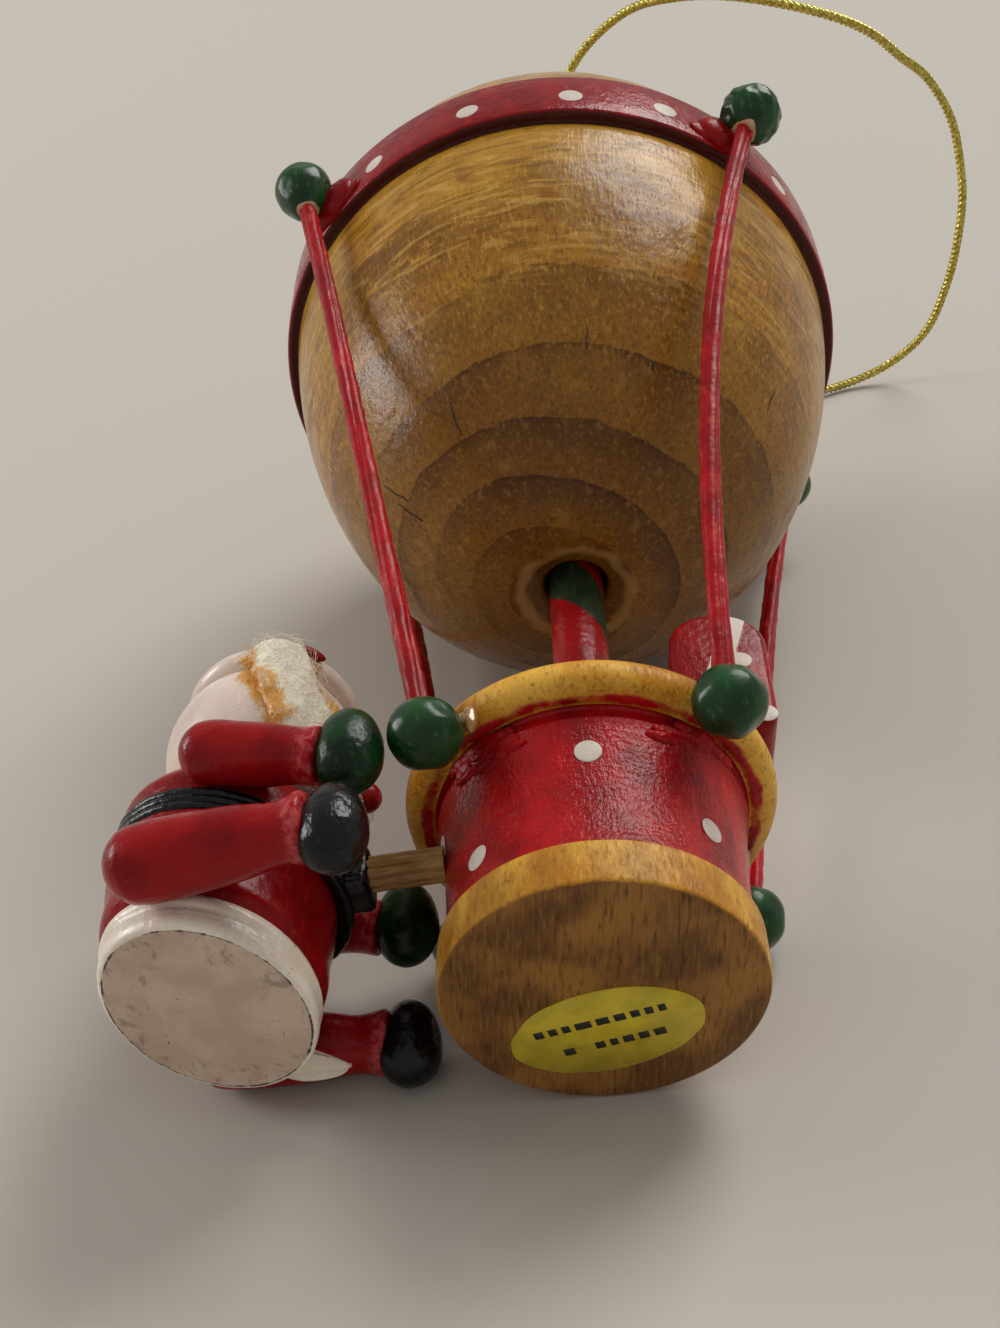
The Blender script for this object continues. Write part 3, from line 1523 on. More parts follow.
@dataclass
class PhotoCamera:
    """The camera, where the photograph was taken from."""

    place: tuple[float, float, float] = (0.005935, -0.174295, 0.107430)
    right: tuple[float, float, float] = (0.993083, -0.010145, -0.116624)
    up: tuple[float, float, float] = (0.106179, 0.498143, 0.860518)
    lens: float = 51.506
    sensor: float = 36.0
    nearest: float = 0.01
    farthest: float = 20.0

    def build(self) -> None:
        """Makes the camera and gives it to the scene."""
        right = Vector(self.right).normalized()
        up = (Vector(self.up) - right * right.dot(Vector(self.up))).normalized()
        turn = Matrix((right, up, right.cross(up))).transposed().to_4x4()
        data = bpy.data.cameras.new("camera")
        data.lens = self.lens
        data.sensor_width = self.sensor
        data.clip_start = self.nearest
        data.clip_end = self.farthest
        camera = bpy.data.objects.new("camera", data)
        camera.matrix_world = Matrix.Translation(self.place) @ turn
        bpy.context.scene.collection.objects.link(camera)
        bpy.context.scene.camera = camera


@dataclass
class Studio:
    """The pale table top and the soft light."""

    table_size: float = 6.0
    table_colour: Colour = tint(194, 188, 179)
    table_roughness: float = 0.75
    table_shine: float = 0.2
    sky_colour: Colour = (1.0, 0.985, 0.96, 1.0)
    sky_strength: float = 0.41
    aim: tuple[float, float, float] = (0.0, 0.0, 0.03)

    def table(self, height: float) -> None:
        """Makes the table top.

        Args:
            height: the height that the ornament lies at.
        """
        half = self.table_size / 2
        mesh = bpy.data.meshes.new("table_top")
        signs = ((-1, -1), (1, -1), (1, 1), (-1, 1))
        corners = [(x * half, y * half, height) for x, y in signs]
        mesh.from_pydata(corners, [], [(0, 1, 2, 3)])
        material = bpy.data.materials.new("pale table")
        material.use_nodes = True
        shader = material.node_tree.nodes["Principled BSDF"]
        shader.inputs["Base Color"].default_value = self.table_colour
        shader.inputs["Roughness"].default_value = self.table_roughness
        shader.inputs["Specular IOR Level"].default_value = self.table_shine
        mesh.materials.append(material)
        table = bpy.data.objects.new("table_top", mesh)
        bpy.context.scene.collection.objects.link(table)
        table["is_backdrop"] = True

    def lamp(self, name: str, place: Point, size: float, power: float, colour: Point) -> None:
        """Hangs one soft light.

        Args:
            name: the light's name.
            place: where it hangs, in metres.
            size: the side of its square face.
            power: its power in watts.
            colour: its colour.
        """
        data = bpy.data.lights.new(name, "AREA")
        data.shape = "SQUARE"
        data.size = size
        data.energy = power
        data.color = tuple(colour)
        lamp = bpy.data.objects.new(name, data)
        direction = Vector(self.aim) - Vector(place)
        lamp.location = place
        lamp.rotation_euler = direction.to_track_quat("-Z", "Y").to_euler()
        bpy.context.scene.collection.objects.link(lamp)

    def light(self) -> None:
        """Lights the scene from behind the crown, from the left and from all round."""
        world = bpy.data.worlds.new("studio")
        world.use_nodes = True
        background = world.node_tree.nodes["Background"]
        background.inputs["Color"].default_value = self.sky_colour
        background.inputs["Strength"].default_value = self.sky_strength
        bpy.context.scene.world = world
        self.lamp("window", (1.36, 1.6, 2.08), 1.5, 54.0, (1.0, 0.985, 0.955))
        self.lamp("side", (-0.9, 0.25, 0.34), 0.4, 4.0, (1.0, 0.98, 0.96))
        settings = bpy.context.scene.view_settings
        settings.view_transform = "Standard"
        settings.look = "None"


@dataclass
class HangingCord:
    """The twisted gold loop from the crown, with the route that the part's source gives it."""

    radius: float = 0.6
    strands: int = 3
    groove: float = 0.42
    lay_length: float = 2.3
    route: tuple = (
        (5.66, 63.2, 36.85), (5.7, 65.4, 37.5), (7.4, 70.4, 43), (11.5, 74.2, 52), (18.2, 71.6, 58),
        (24, 67, 60), (31, 63.4, 60), (41.4, 62.2, 57), (47.4, 64.6, 53.6), (51.8, 68, 49.4),
        (56.2, 73, 45), (59.6, 75.2, 39), (61, 76.2, 33), (61.4, 76.4, 28), (60.9, 77, 22),
        (60, 79.6, 15), (57.5, 82, 7.5), (53, 83.6, 2.8), (47.5, 82.8, 0.9), (41, 80.2, 0.9),
        (34, 78, 2.4), (26, 76, 6.5), (18, 74.4, 14), (11.4, 71.6, 24.5), (7.8, 67.6, 34),
        (7.25, 65.4, 37.1), (7.16, 63.2, 36.8),
    )

    def build(self, bench: Bench) -> None:
        """Args:
            bench: what the making needs.
        """
        world = OrnamentFrame(Matrix.Scale(MM, 4))
        path = smooth_path(self.route, 12)
        length = sum((b - a).length for a, b in zip(path, path[1:]))
        finish = GoldThread().material(world)
        turns = length / self.lay_length
        mesh = bench.sweep.draw(path, finish, self.radius, self.strands, self.groove, turns, 15, 0.2, 0.0)
        piece = bench.fit("hanging_cord_thread", mesh, world, ["hanging_cord"])


@dataclass
class Balloon:
    """The turned ball with its raised band, its dished mouth and the bore for the pole."""

    radius: float = 29.4
    equator: float = 93.6
    lower_depth: float = 45.6
    dome_height: float = 32.6
    band_proud: float = 1.1
    band_height: float = 8.2
    band_rounding: float = 0.55
    mouth_radius: float = 6.1
    bore_radius: float = 3.05
    bore_depth: float = 12.0
    crown_flat: float = 1.6
    dot_radius: float = 1.28
    dot_drop: float = 0.7
    crack_half: float = 0.06
    crack_proud: float = 0.018
    cracks: tuple = (
        ((-127.3, 59.4), (-128.6, 56.6)), ((-162.4, 59.4), (-159.8, 56.6)), ((-163.6, 57.4), (-162.0, 54.8)),
        ((-86.2, 62.3), (-86.4, 60.6)), ((-68.1, 60.5), (-67.5, 59.6)), ((-30.0, 66.0), (-29.4, 63.6)),
    )
    dot_bearings: tuple = (-130, -108.4, -88, -69.1, -40.2, -20, 1, 20, 51, 71, 92, 111, 141, 161, 178, -166)

    @property
    def band_radius(self) -> float:
        """Radius of the band's face."""
        return self.radius + self.band_proud

    def profile(self) -> Profile:
        """The outline from the bore's end, out round the mouth and up to the crown.

        Returns:
            Pairs of radius and height.
        """
        mouth_angle = math.acos(self.mouth_radius / self.radius)
        mouth = self.equator - self.lower_depth * math.sin(mouth_angle)
        bore_top = mouth + self.bore_depth
        bottom = self.equator - self.band_height / 2
        top = self.equator + self.band_height / 2
        low_angle = -math.asin((self.band_height / 2 + 0.35) / self.lower_depth)
        high_angle = math.asin((self.band_height / 2 + 0.2) / self.dome_height)
        crown_angle = math.acos(self.crown_flat / self.radius)
        bore = self.bore_radius
        points = [(0.0, bore_top), (bore - 0.1, bore_top), (bore, bore_top - 0.1), (bore, mouth + 4)]
        points += [(bore + 0.02, mouth + 1.6), (bore + 0.14, mouth + 1.15), (bore + 0.5, mouth + 0.95)]
        points += [(bore + 1.3, mouth + 0.65), (bore + 1.95, mouth + 0.2), (bore + 2.5, mouth + 0.0)]
        points += oval(self.radius, self.lower_depth, self.equator, -mouth_angle + 0.008, low_angle, 84)
        groove = points[-1][0]
        points += [(groove - 0.28, bottom - 0.12), (groove - 0.2, bottom + 0.02)]
        points += [(groove + 0.3, bottom + 0.01)]
        r = self.band_rounding
        points += arc((self.band_radius - r, bottom + r), r, -90, -12, 7)
        points += [(self.band_radius + 0.04, self.equator - 1.6)]
        points += [(self.band_radius + 0.05, self.equator + 1.2)]
        points += arc((self.band_radius - r, top - r), r, 12, 90, 7)
        points += [(self.radius + 0.1, top + 0.01)]
        points += oval(self.radius, self.dome_height, self.equator, high_angle, crown_angle, 56)
        points += [(self.crown_flat * 0.6, points[-1][1] + 0.03), (0.0, points[-1][1] + 0.03)]
        return points

    def surface_radius(self, height: float) -> float:
        """Radius of the ball's lower half at a height."""
        drop = (self.equator - height) / self.lower_depth
        return self.radius * math.sqrt(max(0.0, 1 - drop * drop))

    def checks(self) -> Mesh:
        """The few fine drying cracks in the ball, as dark slivers on its surface.

        Returns:
            Their mesh.
        """
        work = bmesh.new()
        for start, stop in self.cracks:
            rows = []
            for k in range(7):
                share = k / 6
                bearing = start[0] + (stop[0] - start[0]) * share + 0.25 * math.sin(9 * share)
                height = start[1] + (stop[1] - start[1]) * share
                reach = self.surface_radius(height) + self.crack_proud
                half = self.crack_half * math.sin(math.pi * min(0.97, max(0.03, share))) ** 0.6
                middle = polar(reach, bearing, height)
                across = polar(1.0, bearing + 90, 0.0) * half
                rows.append([work.verts.new(middle + across), work.verts.new(middle - across)])
            low = [[work.verts.new(v.co * 0.997) for v in row] for row in rows]
            for k in range(6):
                a, b, c, d = rows[k], rows[k + 1], low[k], low[k + 1]
                work.faces.new((a[0], a[1], b[1], b[0]))
                work.faces.new((c[0], d[0], d[1], c[1]))
                work.faces.new((a[0], b[0], d[0], c[0]))
                work.faces.new((a[1], c[1], d[1], b[1]))
            for row, under in ((rows[0], low[0]), (rows[-1], low[-1])):
                work.faces.new((row[0], under[0], under[1], row[1]))
        return finished(work, "checks")

    def build(self, bench: Bench) -> None:
        """Makes the balloon, its painted dots and its cracks.

        Args:
            bench: what the making needs.
        """
        frame = bench.frame
        finish = BalloonFinish(RingedWood(), RED, self.equator, self.band_height).material(frame)
        mesh = bench.lathe.turn(self.profile(), finish, 224, 0.1, 9.0, 3.0)
        bench.fit("balloon_body", mesh, frame, ["balloon"])
        chance = random.Random(4)
        places = []
        for bearing in self.dot_bearings:
            height = self.equator - self.dot_drop + chance.uniform(-0.25, 0.25)
            size = self.dot_radius * chance.uniform(0.93, 1.04)
            places.append(wall_dab(self.band_radius + 0.02, bearing, height, (size, size, 0.1)))
        bench.fit("band_dots", bench.dabs.set(places, DOT_WHITE.material(frame)), frame)
        bench.fit("wood_checks", self.checks(), frame, (), CRACK.material(frame))


@dataclass
class Basket:
    """The turned basket: stained base edge, waisted red wall, groove and rounded rim."""

    base_radius: float = 12.9
    base_edge: float = 4.4
    waist_radius: float = 12.2
    waist_height: float = 9.0
    shoulder_radius: float = 13.0
    shoulder_height: float = 17.7
    groove_radius: float = 12.7
    rim_radius: float = 13.85
    rim_tube: float = 1.85
    rim_height: float = 20.5
    dish_radius: float = 11.9
    dish_floor: float = 19.0
    socket_depth: float = 6.0
    foot_rounding: float = 0.5
    dot_radius: float = 1.1
    dot_rise: float = 0.12
    dots: tuple = (
        (-93.4, 14.06), (-141.1, 7.5), (-45.2, 8.9), (2, 13.8),
        (49, 8.2), (96, 14.0), (141, 7.9), (-172, 14.2),
    )
    label_middle: tuple[float, float] = (0.3, 4.2)
    label_half: tuple[float, float] = (7.85, 4.85)
    label_turn: float = -18.7
    label_sides: int = 72
    stroke_rows: tuple = ((-1.3, (-5.6, 5.4)), (1.45, (-4.0, 4.0)))
    stroke_height: float = 0.8
    stroke_gap: float = 0.42

    def profile(self, pole_radius: float) -> Profile:
        """The outline from below, up the wall and down into the pole's socket.

        Args:
            pole_radius: radius of the hole that the pole stands in.

        Returns:
            Pairs of radius and height.
        """
        r = self.foot_rounding
        points = [(0.0, 0.04), (6.0, 0.05), (11.0, 0.02)]
        points += arc((self.base_radius - r, r), r, -90, 0, 7)
        points += [(self.base_radius + 0.03, 1.8), (self.base_radius + 0.02, 3.2)]
        points += arc((self.base_radius - 0.35, self.base_edge - 0.35), 0.35, 0, 60, 4)
        wall = [
            (self.base_radius - 0.42, self.base_edge + 0.05), (self.waist_radius + 0.06, 6.4),
            (self.waist_radius, self.waist_height), (self.waist_radius + 0.22, 13.2),
            (self.shoulder_radius - 0.12, self.shoulder_height - 0.6),
        ]
        points += smooth_profile(wall, 8)
        points += arc((self.shoulder_radius - 0.45, self.shoulder_height - 0.3), 0.45, 5, 60, 4)
        points += [(self.groove_radius, self.shoulder_height + 0.4)]
        points += [(self.groove_radius + 0.02, self.shoulder_height + 0.8)]
        points += arc((self.rim_radius, self.rim_height), self.rim_tube, -125, 175, 34)
        points += [(self.dish_radius + 0.05, self.dish_floor + 0.7)]
        points += [(self.dish_radius - 0.15, self.dish_floor + 0.25)]
        points += [(self.dish_radius - 0.7, self.dish_floor), (7.0, self.dish_floor - 0.05)]
        hole = pole_radius + 0.15
        points += [(hole + 0.2, self.dish_floor), (hole, self.dish_floor - 0.2)]
        points += [(hole, self.dish_floor - self.socket_depth), (0.0, self.dish_floor - self.socket_depth)]
        return points

    def wall_radius(self, height: float) -> float:
        """Radius of the red wall, to set the dots on.

        Args:
            height: the height of the spot.

        Returns:
            The radius there.
        """
        outline = self.profile(StripedPole.radius)
        outline = [(r, z) for r, z in outline if self.base_edge < z <= self.shoulder_height and r > 12]
        low = max((p for p in outline if p[1] <= height), key=lambda p: p[1])
        high = min((p for p in outline if p[1] > height), key=lambda p: p[1])
        return low[0] + (high[0] - low[0]) * (height - low[1]) / (high[1] - low[1])

    def label(self) -> Mesh:
        """The thin oval label on the rear half of the underside, its edge slightly torn.

        Returns:
            The label's mesh.
        """
        centre, turn = Vector((*self.label_middle, 0.0)), math.radians(self.label_turn)
        half_long, half_short = self.label_half
        work = bmesh.new()
        top, low = [], []
        for k in range(self.label_sides):
            angle = 2 * math.pi * k / self.label_sides
            ragged = 1 + 0.018 * noise.noise(Vector((3 * math.cos(angle), 3 * math.sin(angle), 4.0)))
            if 2.3 < angle < 2.9:
                ragged -= 0.03 * math.sin((angle - 2.3) / 0.6 * math.pi)
            x, y = half_long * ragged * math.cos(angle), -half_short * ragged * math.sin(angle)
            across = x * math.cos(turn) - y * math.sin(turn)
            along = x * math.sin(turn) + y * math.cos(turn)
            spot = centre + Vector((across, along, 0))
            top.append(work.verts.new((spot.x, spot.y, -0.05)))
            low.append(work.verts.new((spot.x, spot.y, 0.08)))
        close_rows(work, [top, low])
        return finished(work, "label")

    def label_marks(self) -> Mesh:
        """Two rows of plain short strokes in the label's middle, which spell nothing.

        Returns:
            The strokes' mesh.
        """
        turn = Matrix.Translation((*self.label_middle, -0.055))
        turn = turn @ Matrix.Rotation(math.radians(self.label_turn), 4, "Z")
        chance = random.Random(8)
        work = bmesh.new()
        for row, (start, stop) in self.stroke_rows:
            x = start
            while x < stop:
                width = chance.uniform(0.6, 1.3)
                if chance.random() > 0.16:
                    block = bmesh.ops.create_cube(work, size=1.0)
                    place = Matrix.Translation((x + width / 2, row, 0))
                    place = place @ Matrix.Diagonal((width, self.stroke_height, 0.03, 1))
                    bmesh.ops.transform(work, matrix=turn @ place, verts=block["verts"])
                x += width + self.stroke_gap
        return finished(work, "marks")

    def build(self, bench: Bench, pole_radius: float) -> None:
        """Makes the basket, its dots and its label.

        Args:
            bench: what the making needs.
            pole_radius: radius of the pole that stands in it.
        """
        frame = bench.frame
        edges = (self.base_edge + 0.1, self.shoulder_height + 1.0, self.dish_radius)
        finish = BasketFinish(RIM_WOOD, UNDER_WOOD, BASKET_RED, *edges)
        mesh = bench.lathe.turn(self.profile(pole_radius), finish.material(frame), 192, 0.07, 4.0, 6.0)
        bench.fit("basket_body", mesh, frame, ["basket"])
        places = []
        for bearing, height in self.dots:
            slope = (self.wall_radius(height + 0.8) - self.wall_radius(height - 0.8)) / 1.6
            size = (self.dot_radius, self.dot_radius, self.dot_rise)
            places.append(wall_dab(self.wall_radius(height) + 0.03, bearing, height, size, slope))
        bench.fit("wall_dots", bench.dabs.set(places, DOT_WHITE.material(frame)), frame)
        bench.fit("label", self.label(), frame, (), LABEL.material(frame))
        bench.fit("label_strokes", self.label_marks(), frame, (), PRINT.material(frame))


@dataclass
class StripedPole:
    """The pole between basket and balloon."""

    radius: float = 2.6
    bottom: float = 13.2
    top: float = 60.7
    stripe_start: float = 39.8

    def build(self, bench: Bench) -> None:
        """Makes the pole.

        Args:
            bench: what the making needs.
        """
        r = self.radius
        profile = [(0.0, self.bottom), (r - 0.1, self.bottom), (r, self.bottom + 0.1)]
        profile += [(r, self.bottom + (self.top - self.bottom) * k / 30) for k in range(1, 30)]
        profile += [(r, self.top - 0.1), (r - 0.1, self.top), (0.0, self.top)]
        finish = SpiralPaint(RED, POLE_GREEN, self.stripe_start)
        mesh = bench.lathe.turn(profile, finish.material(bench.frame), 64, 0.06, 3.0, 9.0)
        bench.fit("pole_body", mesh, bench.frame, ["pole"])


@dataclass
class BeadsAndRods:
    """Eight green beads and the four red reed rods that run between them."""

    bead_radius: float = 3.05
    upper_circle: float = 33.85
    upper_height: float = 93.9
    upper_bearings: tuple = (-144.0, -54.0, 36.0, 126.0)
    lower_circle: float = 17.92
    lower_height: float = 17.25
    lower_bearings: tuple = (-139.0, -54.0, 39.0, 128.0)
    rod_radius: float = 0.95
    bow: tuple = (0.4, -5.4, 2.4, -0.8)
    gap: float = 0.3
    rod_shift: tuple = (0.0, -0.65, 0.0, 0.0)
    drawn: tuple = (1.1, 0.2, 0.4, 0.3)
    chips: tuple = (0.2, 1.0, 0.3, 0.1)
    flat_spots: int = 12
    softness: float = 0.02
    dimple: float = 0.05
    dimple_angle: float = 17.0
    worn_angle: float = 22.0

    def bead(self, toward: Vector, seed: int, chip: float, stretch: float) -> Mesh:
        """A dipped bead with flattened spots, a dimple at the rod and a worn ring round it.

        Args:
            toward: direction in which the rod leaves.
            seed: number that picks the flattened spots.
            chip: how much more paint is lost at the rod, 0 to 1.
            stretch: how far the bead is drawn out along the rod, in millimetres.

        Returns:
            The bead's mesh about its own middle, with a worn attribute.
        """
        chance = random.Random(seed)
        flats = []
        for _ in range(self.flat_spots):
            way = Vector((chance.gauss(0, 1), chance.gauss(0, 1), chance.gauss(0, 1))).normalized()
            flats.append((way, chance.uniform(0.93, 0.975)))
        work = bmesh.new()
        bmesh.ops.create_icosphere(work, subdivisions=5, radius=1.0)
        layer = work.verts.layers.float.new("worn")
        for vertex in work.verts:
            way = vertex.co.normalized()
            reach = 1.0
            for flat, depth in flats:
                facing_it = way.dot(flat)
                if facing_it > 0.6:
                    cut = depth / facing_it
                    both = math.exp(-reach / self.softness) + math.exp(-cut / self.softness)
                    reach = -self.softness * math.log(both)
            reach += 0.02 * noise.noise(way * 1.7 + Vector((seed, 0, 0)))
            reach += 0.16 * max(0.0, chip - 0.5) * noise.noise(way * 3.1)
            angle = math.degrees(math.acos(max(-1.0, min(1.0, way.dot(toward)))))
            reach -= self.dimple * math.exp(-((angle / self.dimple_angle) ** 4))
            edge = self.worn_angle + 5.0 * noise.noise(way * 2.2 + Vector((0, seed, 0)))
            edge += 16.0 * chip * max(0.0, noise.noise(way * 1.3))
            vertex[layer] = clamp((edge - angle) / 4.0 + 0.5)
            drawn = toward * (stretch * max(0.0, way.dot(toward)) ** 2)
            vertex.co = way * reach * self.bead_radius * (1.0 + 0.05 * chip) + drawn
        return finished(work, "bead")

    def fillets(self) -> list[Dab]:
        """Smooth webs of thick red paint between the upper beads and the band.

        Returns:
            Their dabs, three to a bead.
        """
        web = (
            (30.7, 2.2, 1.5, (2.7, 3.4, 1.5)),
            (30.5, 4.6, 2.0, (1.7, 3.0, 0.6)),
            (31.3, 0.6, 1.1, (1.7, 1.9, 1.5)),
        )
        return [
            wall_dab(radius, bearing + turn * side, self.upper_height - drop, size)
            for bearing, side in zip(self.upper_bearings, (1, -1, 1, -1))
            for radius, turn, drop, size in web
        ]

    def runs(self) -> list[Dab]:
        """Wrinkled red paint that ran together below each lower bead.

        Returns:
            Its dabs.
        """
        chance = random.Random(21)
        dabs = []
        for bearing in self.lower_bearings:
            for _ in range(11):
                turn = bearing + chance.gauss(0, 9)
                height = 17.3 + chance.uniform(-1.4, 1.1)
                size = (chance.uniform(0.4, 1.1), chance.uniform(0.9, 2.4), chance.uniform(0.22, 0.42))
                dabs.append(wall_dab(12.85 + 0.12 * (height - 17), turn, height, size, 0.2))
        return dabs

    def rod_path(self, lower: Vector, upper: Vector, bow: float) -> list[Vector]:
        """The middle line of a rod, from inside one bead to inside the other.

        Args:
            lower: the lower bead's middle.
            upper: the upper bead's middle.
            bow: how far the rod bends sideways, as twice its reach.

        Returns:
            Points along it.
        """
        along = (upper - lower).normalized()
        start = lower + along * (self.bead_radius + self.gap)
        end = upper - along * (self.bead_radius + self.gap)
        sideways = Vector((0, 0, 1)).cross(along).normalized()
        middle = (start + end) / 2 + sideways * bow
        points = [start - along * 1.3]
        for k in range(25):
            t = k / 24
            points.append(start * (1 - t) ** 2 + middle * 2 * t * (1 - t) + end * t * t)
        points.append(end + along * 1.3)
        return points

    def build(self, bench: Bench) -> None:
        """Makes the beads and the rods.

        Args:
            bench: what the making needs.
        """
        frame = bench.frame
        for i, corner in enumerate(Corner):
            upper = polar(self.upper_circle, self.upper_bearings[i], self.upper_height)
            lower = polar(self.lower_circle, self.lower_bearings[i], self.lower_height)
            shift = Vector((self.rod_shift[i], 0, 0))
            path = [spot + shift for spot in self.rod_path(lower, upper, self.bow[i])]
            top_end = ("upper", upper, path[-2], self.chips[i], self.drawn[i])
            ends = (top_end, ("lower", lower, path[1], 0.0, 0.0))
            for k, (level, centre, beyond, chip, stretch) in enumerate(ends):
                place = frame.moved(centre)
                material = GREEN.material(place, CHIPPED)
                mesh = self.bead((beyond - centre).normalized(), 10 * i + k + 3, chip, stretch)
                name = f"{level}_bead_{corner.value}"
                bench.fit(f"{name}_painted", mesh, place, [name], material)
            finish = ROD_RED.material(frame)
            mesh = bench.sweep.draw(path, finish, self.rod_radius, 3, 0.26, 0.45, 48, 0.6, 0.34, 3.0 * i)
            bench.fit(f"rod_{corner.value}_reeds", mesh, frame, [f"rod_{corner.value}"])
        first = self.lower_bearings[0]
        drops = [
            wall_dab(15.35, first + 9.0, 18.9, (1.6, 0.6, 0.7)),
            wall_dab(15.2, first + 5.0, 19.3, (1.0, 1.1, 0.6)),
        ]
        for name, dabs, paint, unevenness, patch, slot in (
            ("bead_webs", self.fillets(), RED, 0.3, 1.6, Slot.RED_PAINT),
            ("paint_runs", self.runs(), BASKET_RED, 0.4, 0.7, Slot.RED_PAINT),
            ("glue_drop", drops, GLUE, 0.3, 0.8, Slot.LACQUERED_WOOD),
        ):
            bench.fit(name, bench.dabs.set(dabs, paint.material(frame), unevenness, patch), frame)


@dataclass
class GiftParcel:
    """The red parcel on the rim, with a white ribbon and white dots painted on."""

    width: float = 8.5
    depth: float = 7.0
    height: float = 14.6
    top_rounding: float = 3.8
    foot_rounding: float = 2.0
    edge_rounding: float = 0.8
    dot_size: tuple[float, float, float] = (1.0, 1.0, 0.12)
    middle: tuple[float, float, float] = (11.6, -3.5, 22.65)

    def outline(self, grow: float) -> list[Vector]:
        """The rounded front outline.

        Args:
            grow: how far outside the true outline.

        Returns:
            Points round it, counter-clockwise.
        """
        half = self.width / 2
        corners = [
            (-half + self.foot_rounding, self.foot_rounding, self.foot_rounding, 180),
            (half - self.foot_rounding, self.foot_rounding, self.foot_rounding, 270),
            (half - self.top_rounding, self.height - self.top_rounding, self.top_rounding, 0),
            (-half + self.top_rounding, self.height - self.top_rounding, self.top_rounding, 90),
        ]
        points = []
        for (x, z, r, start), (next_x, next_z, next_r, _) in zip(corners, corners[1:] + corners[:1]):
            corner = arc((x, z), r + grow, start, start + 90, 10)
            points += [Vector((across, 0, up)) for across, up in corner]
            across, up = arc((next_x, next_z), next_r + grow, start + 90, start + 90, 1)[0]
            here, there = points[-1], Vector((across, 0, up))
            points += [here.lerp(there, k / 8) for k in range(1, 8)]
        return points

    def body(self) -> Mesh:
        """The block, its outline drawn back with softened edges.

        Returns:
            The block's mesh.
        """
        work = bmesh.new()
        rows = []
        r = self.edge_rounding
        steps = []
        for k in range(6):
            angle = math.pi / 2 * k / 5
            steps.append((-r + r * math.sin(angle), -self.depth / 2 + r - r * math.cos(angle)))
        depths = steps + [(0.0, y) for y in (-1.6, 0.0, 1.6)] + [(g, -y) for g, y in reversed(steps)]
        for grow, y in depths:
            rows.append([work.verts.new(Vector((p.x, y, p.z))) for p in self.outline(grow)])
        close_rows(work, rows)
        return finished(work, "parcel")

    def build(self, bench: Bench) -> None:
        """Makes the parcel and its dots.

        Args:
            bench: what the making needs.
        """
        place = bench.frame.moved(self.middle)
        finish = RibbonPaint(RED, DOT_WHITE).material(place)
        bench.fit("gift_parcel_body", self.body(), place, ["gift_parcel"], finish)
        front, x, y = (0, -1, 0), self.width / 2 + 0.02, -self.depth / 2 - 0.02
        spots = [((1.7, y, 8.1), front), ((3.15, y, 1.3), front), ((-3.0, y, 3.2), front)]
        spots += [((x, 0.6, 6.0), (1, 0, 0)), ((-2.4, -y, 5.0), (0, 1, 0))]
        dabs = [Dab(Vector(spot), Vector(out), self.dot_size) for spot, out in spots]
        bench.fit("parcel_dots", bench.dabs.set(dabs, DOT_WHITE.material(place)), place)


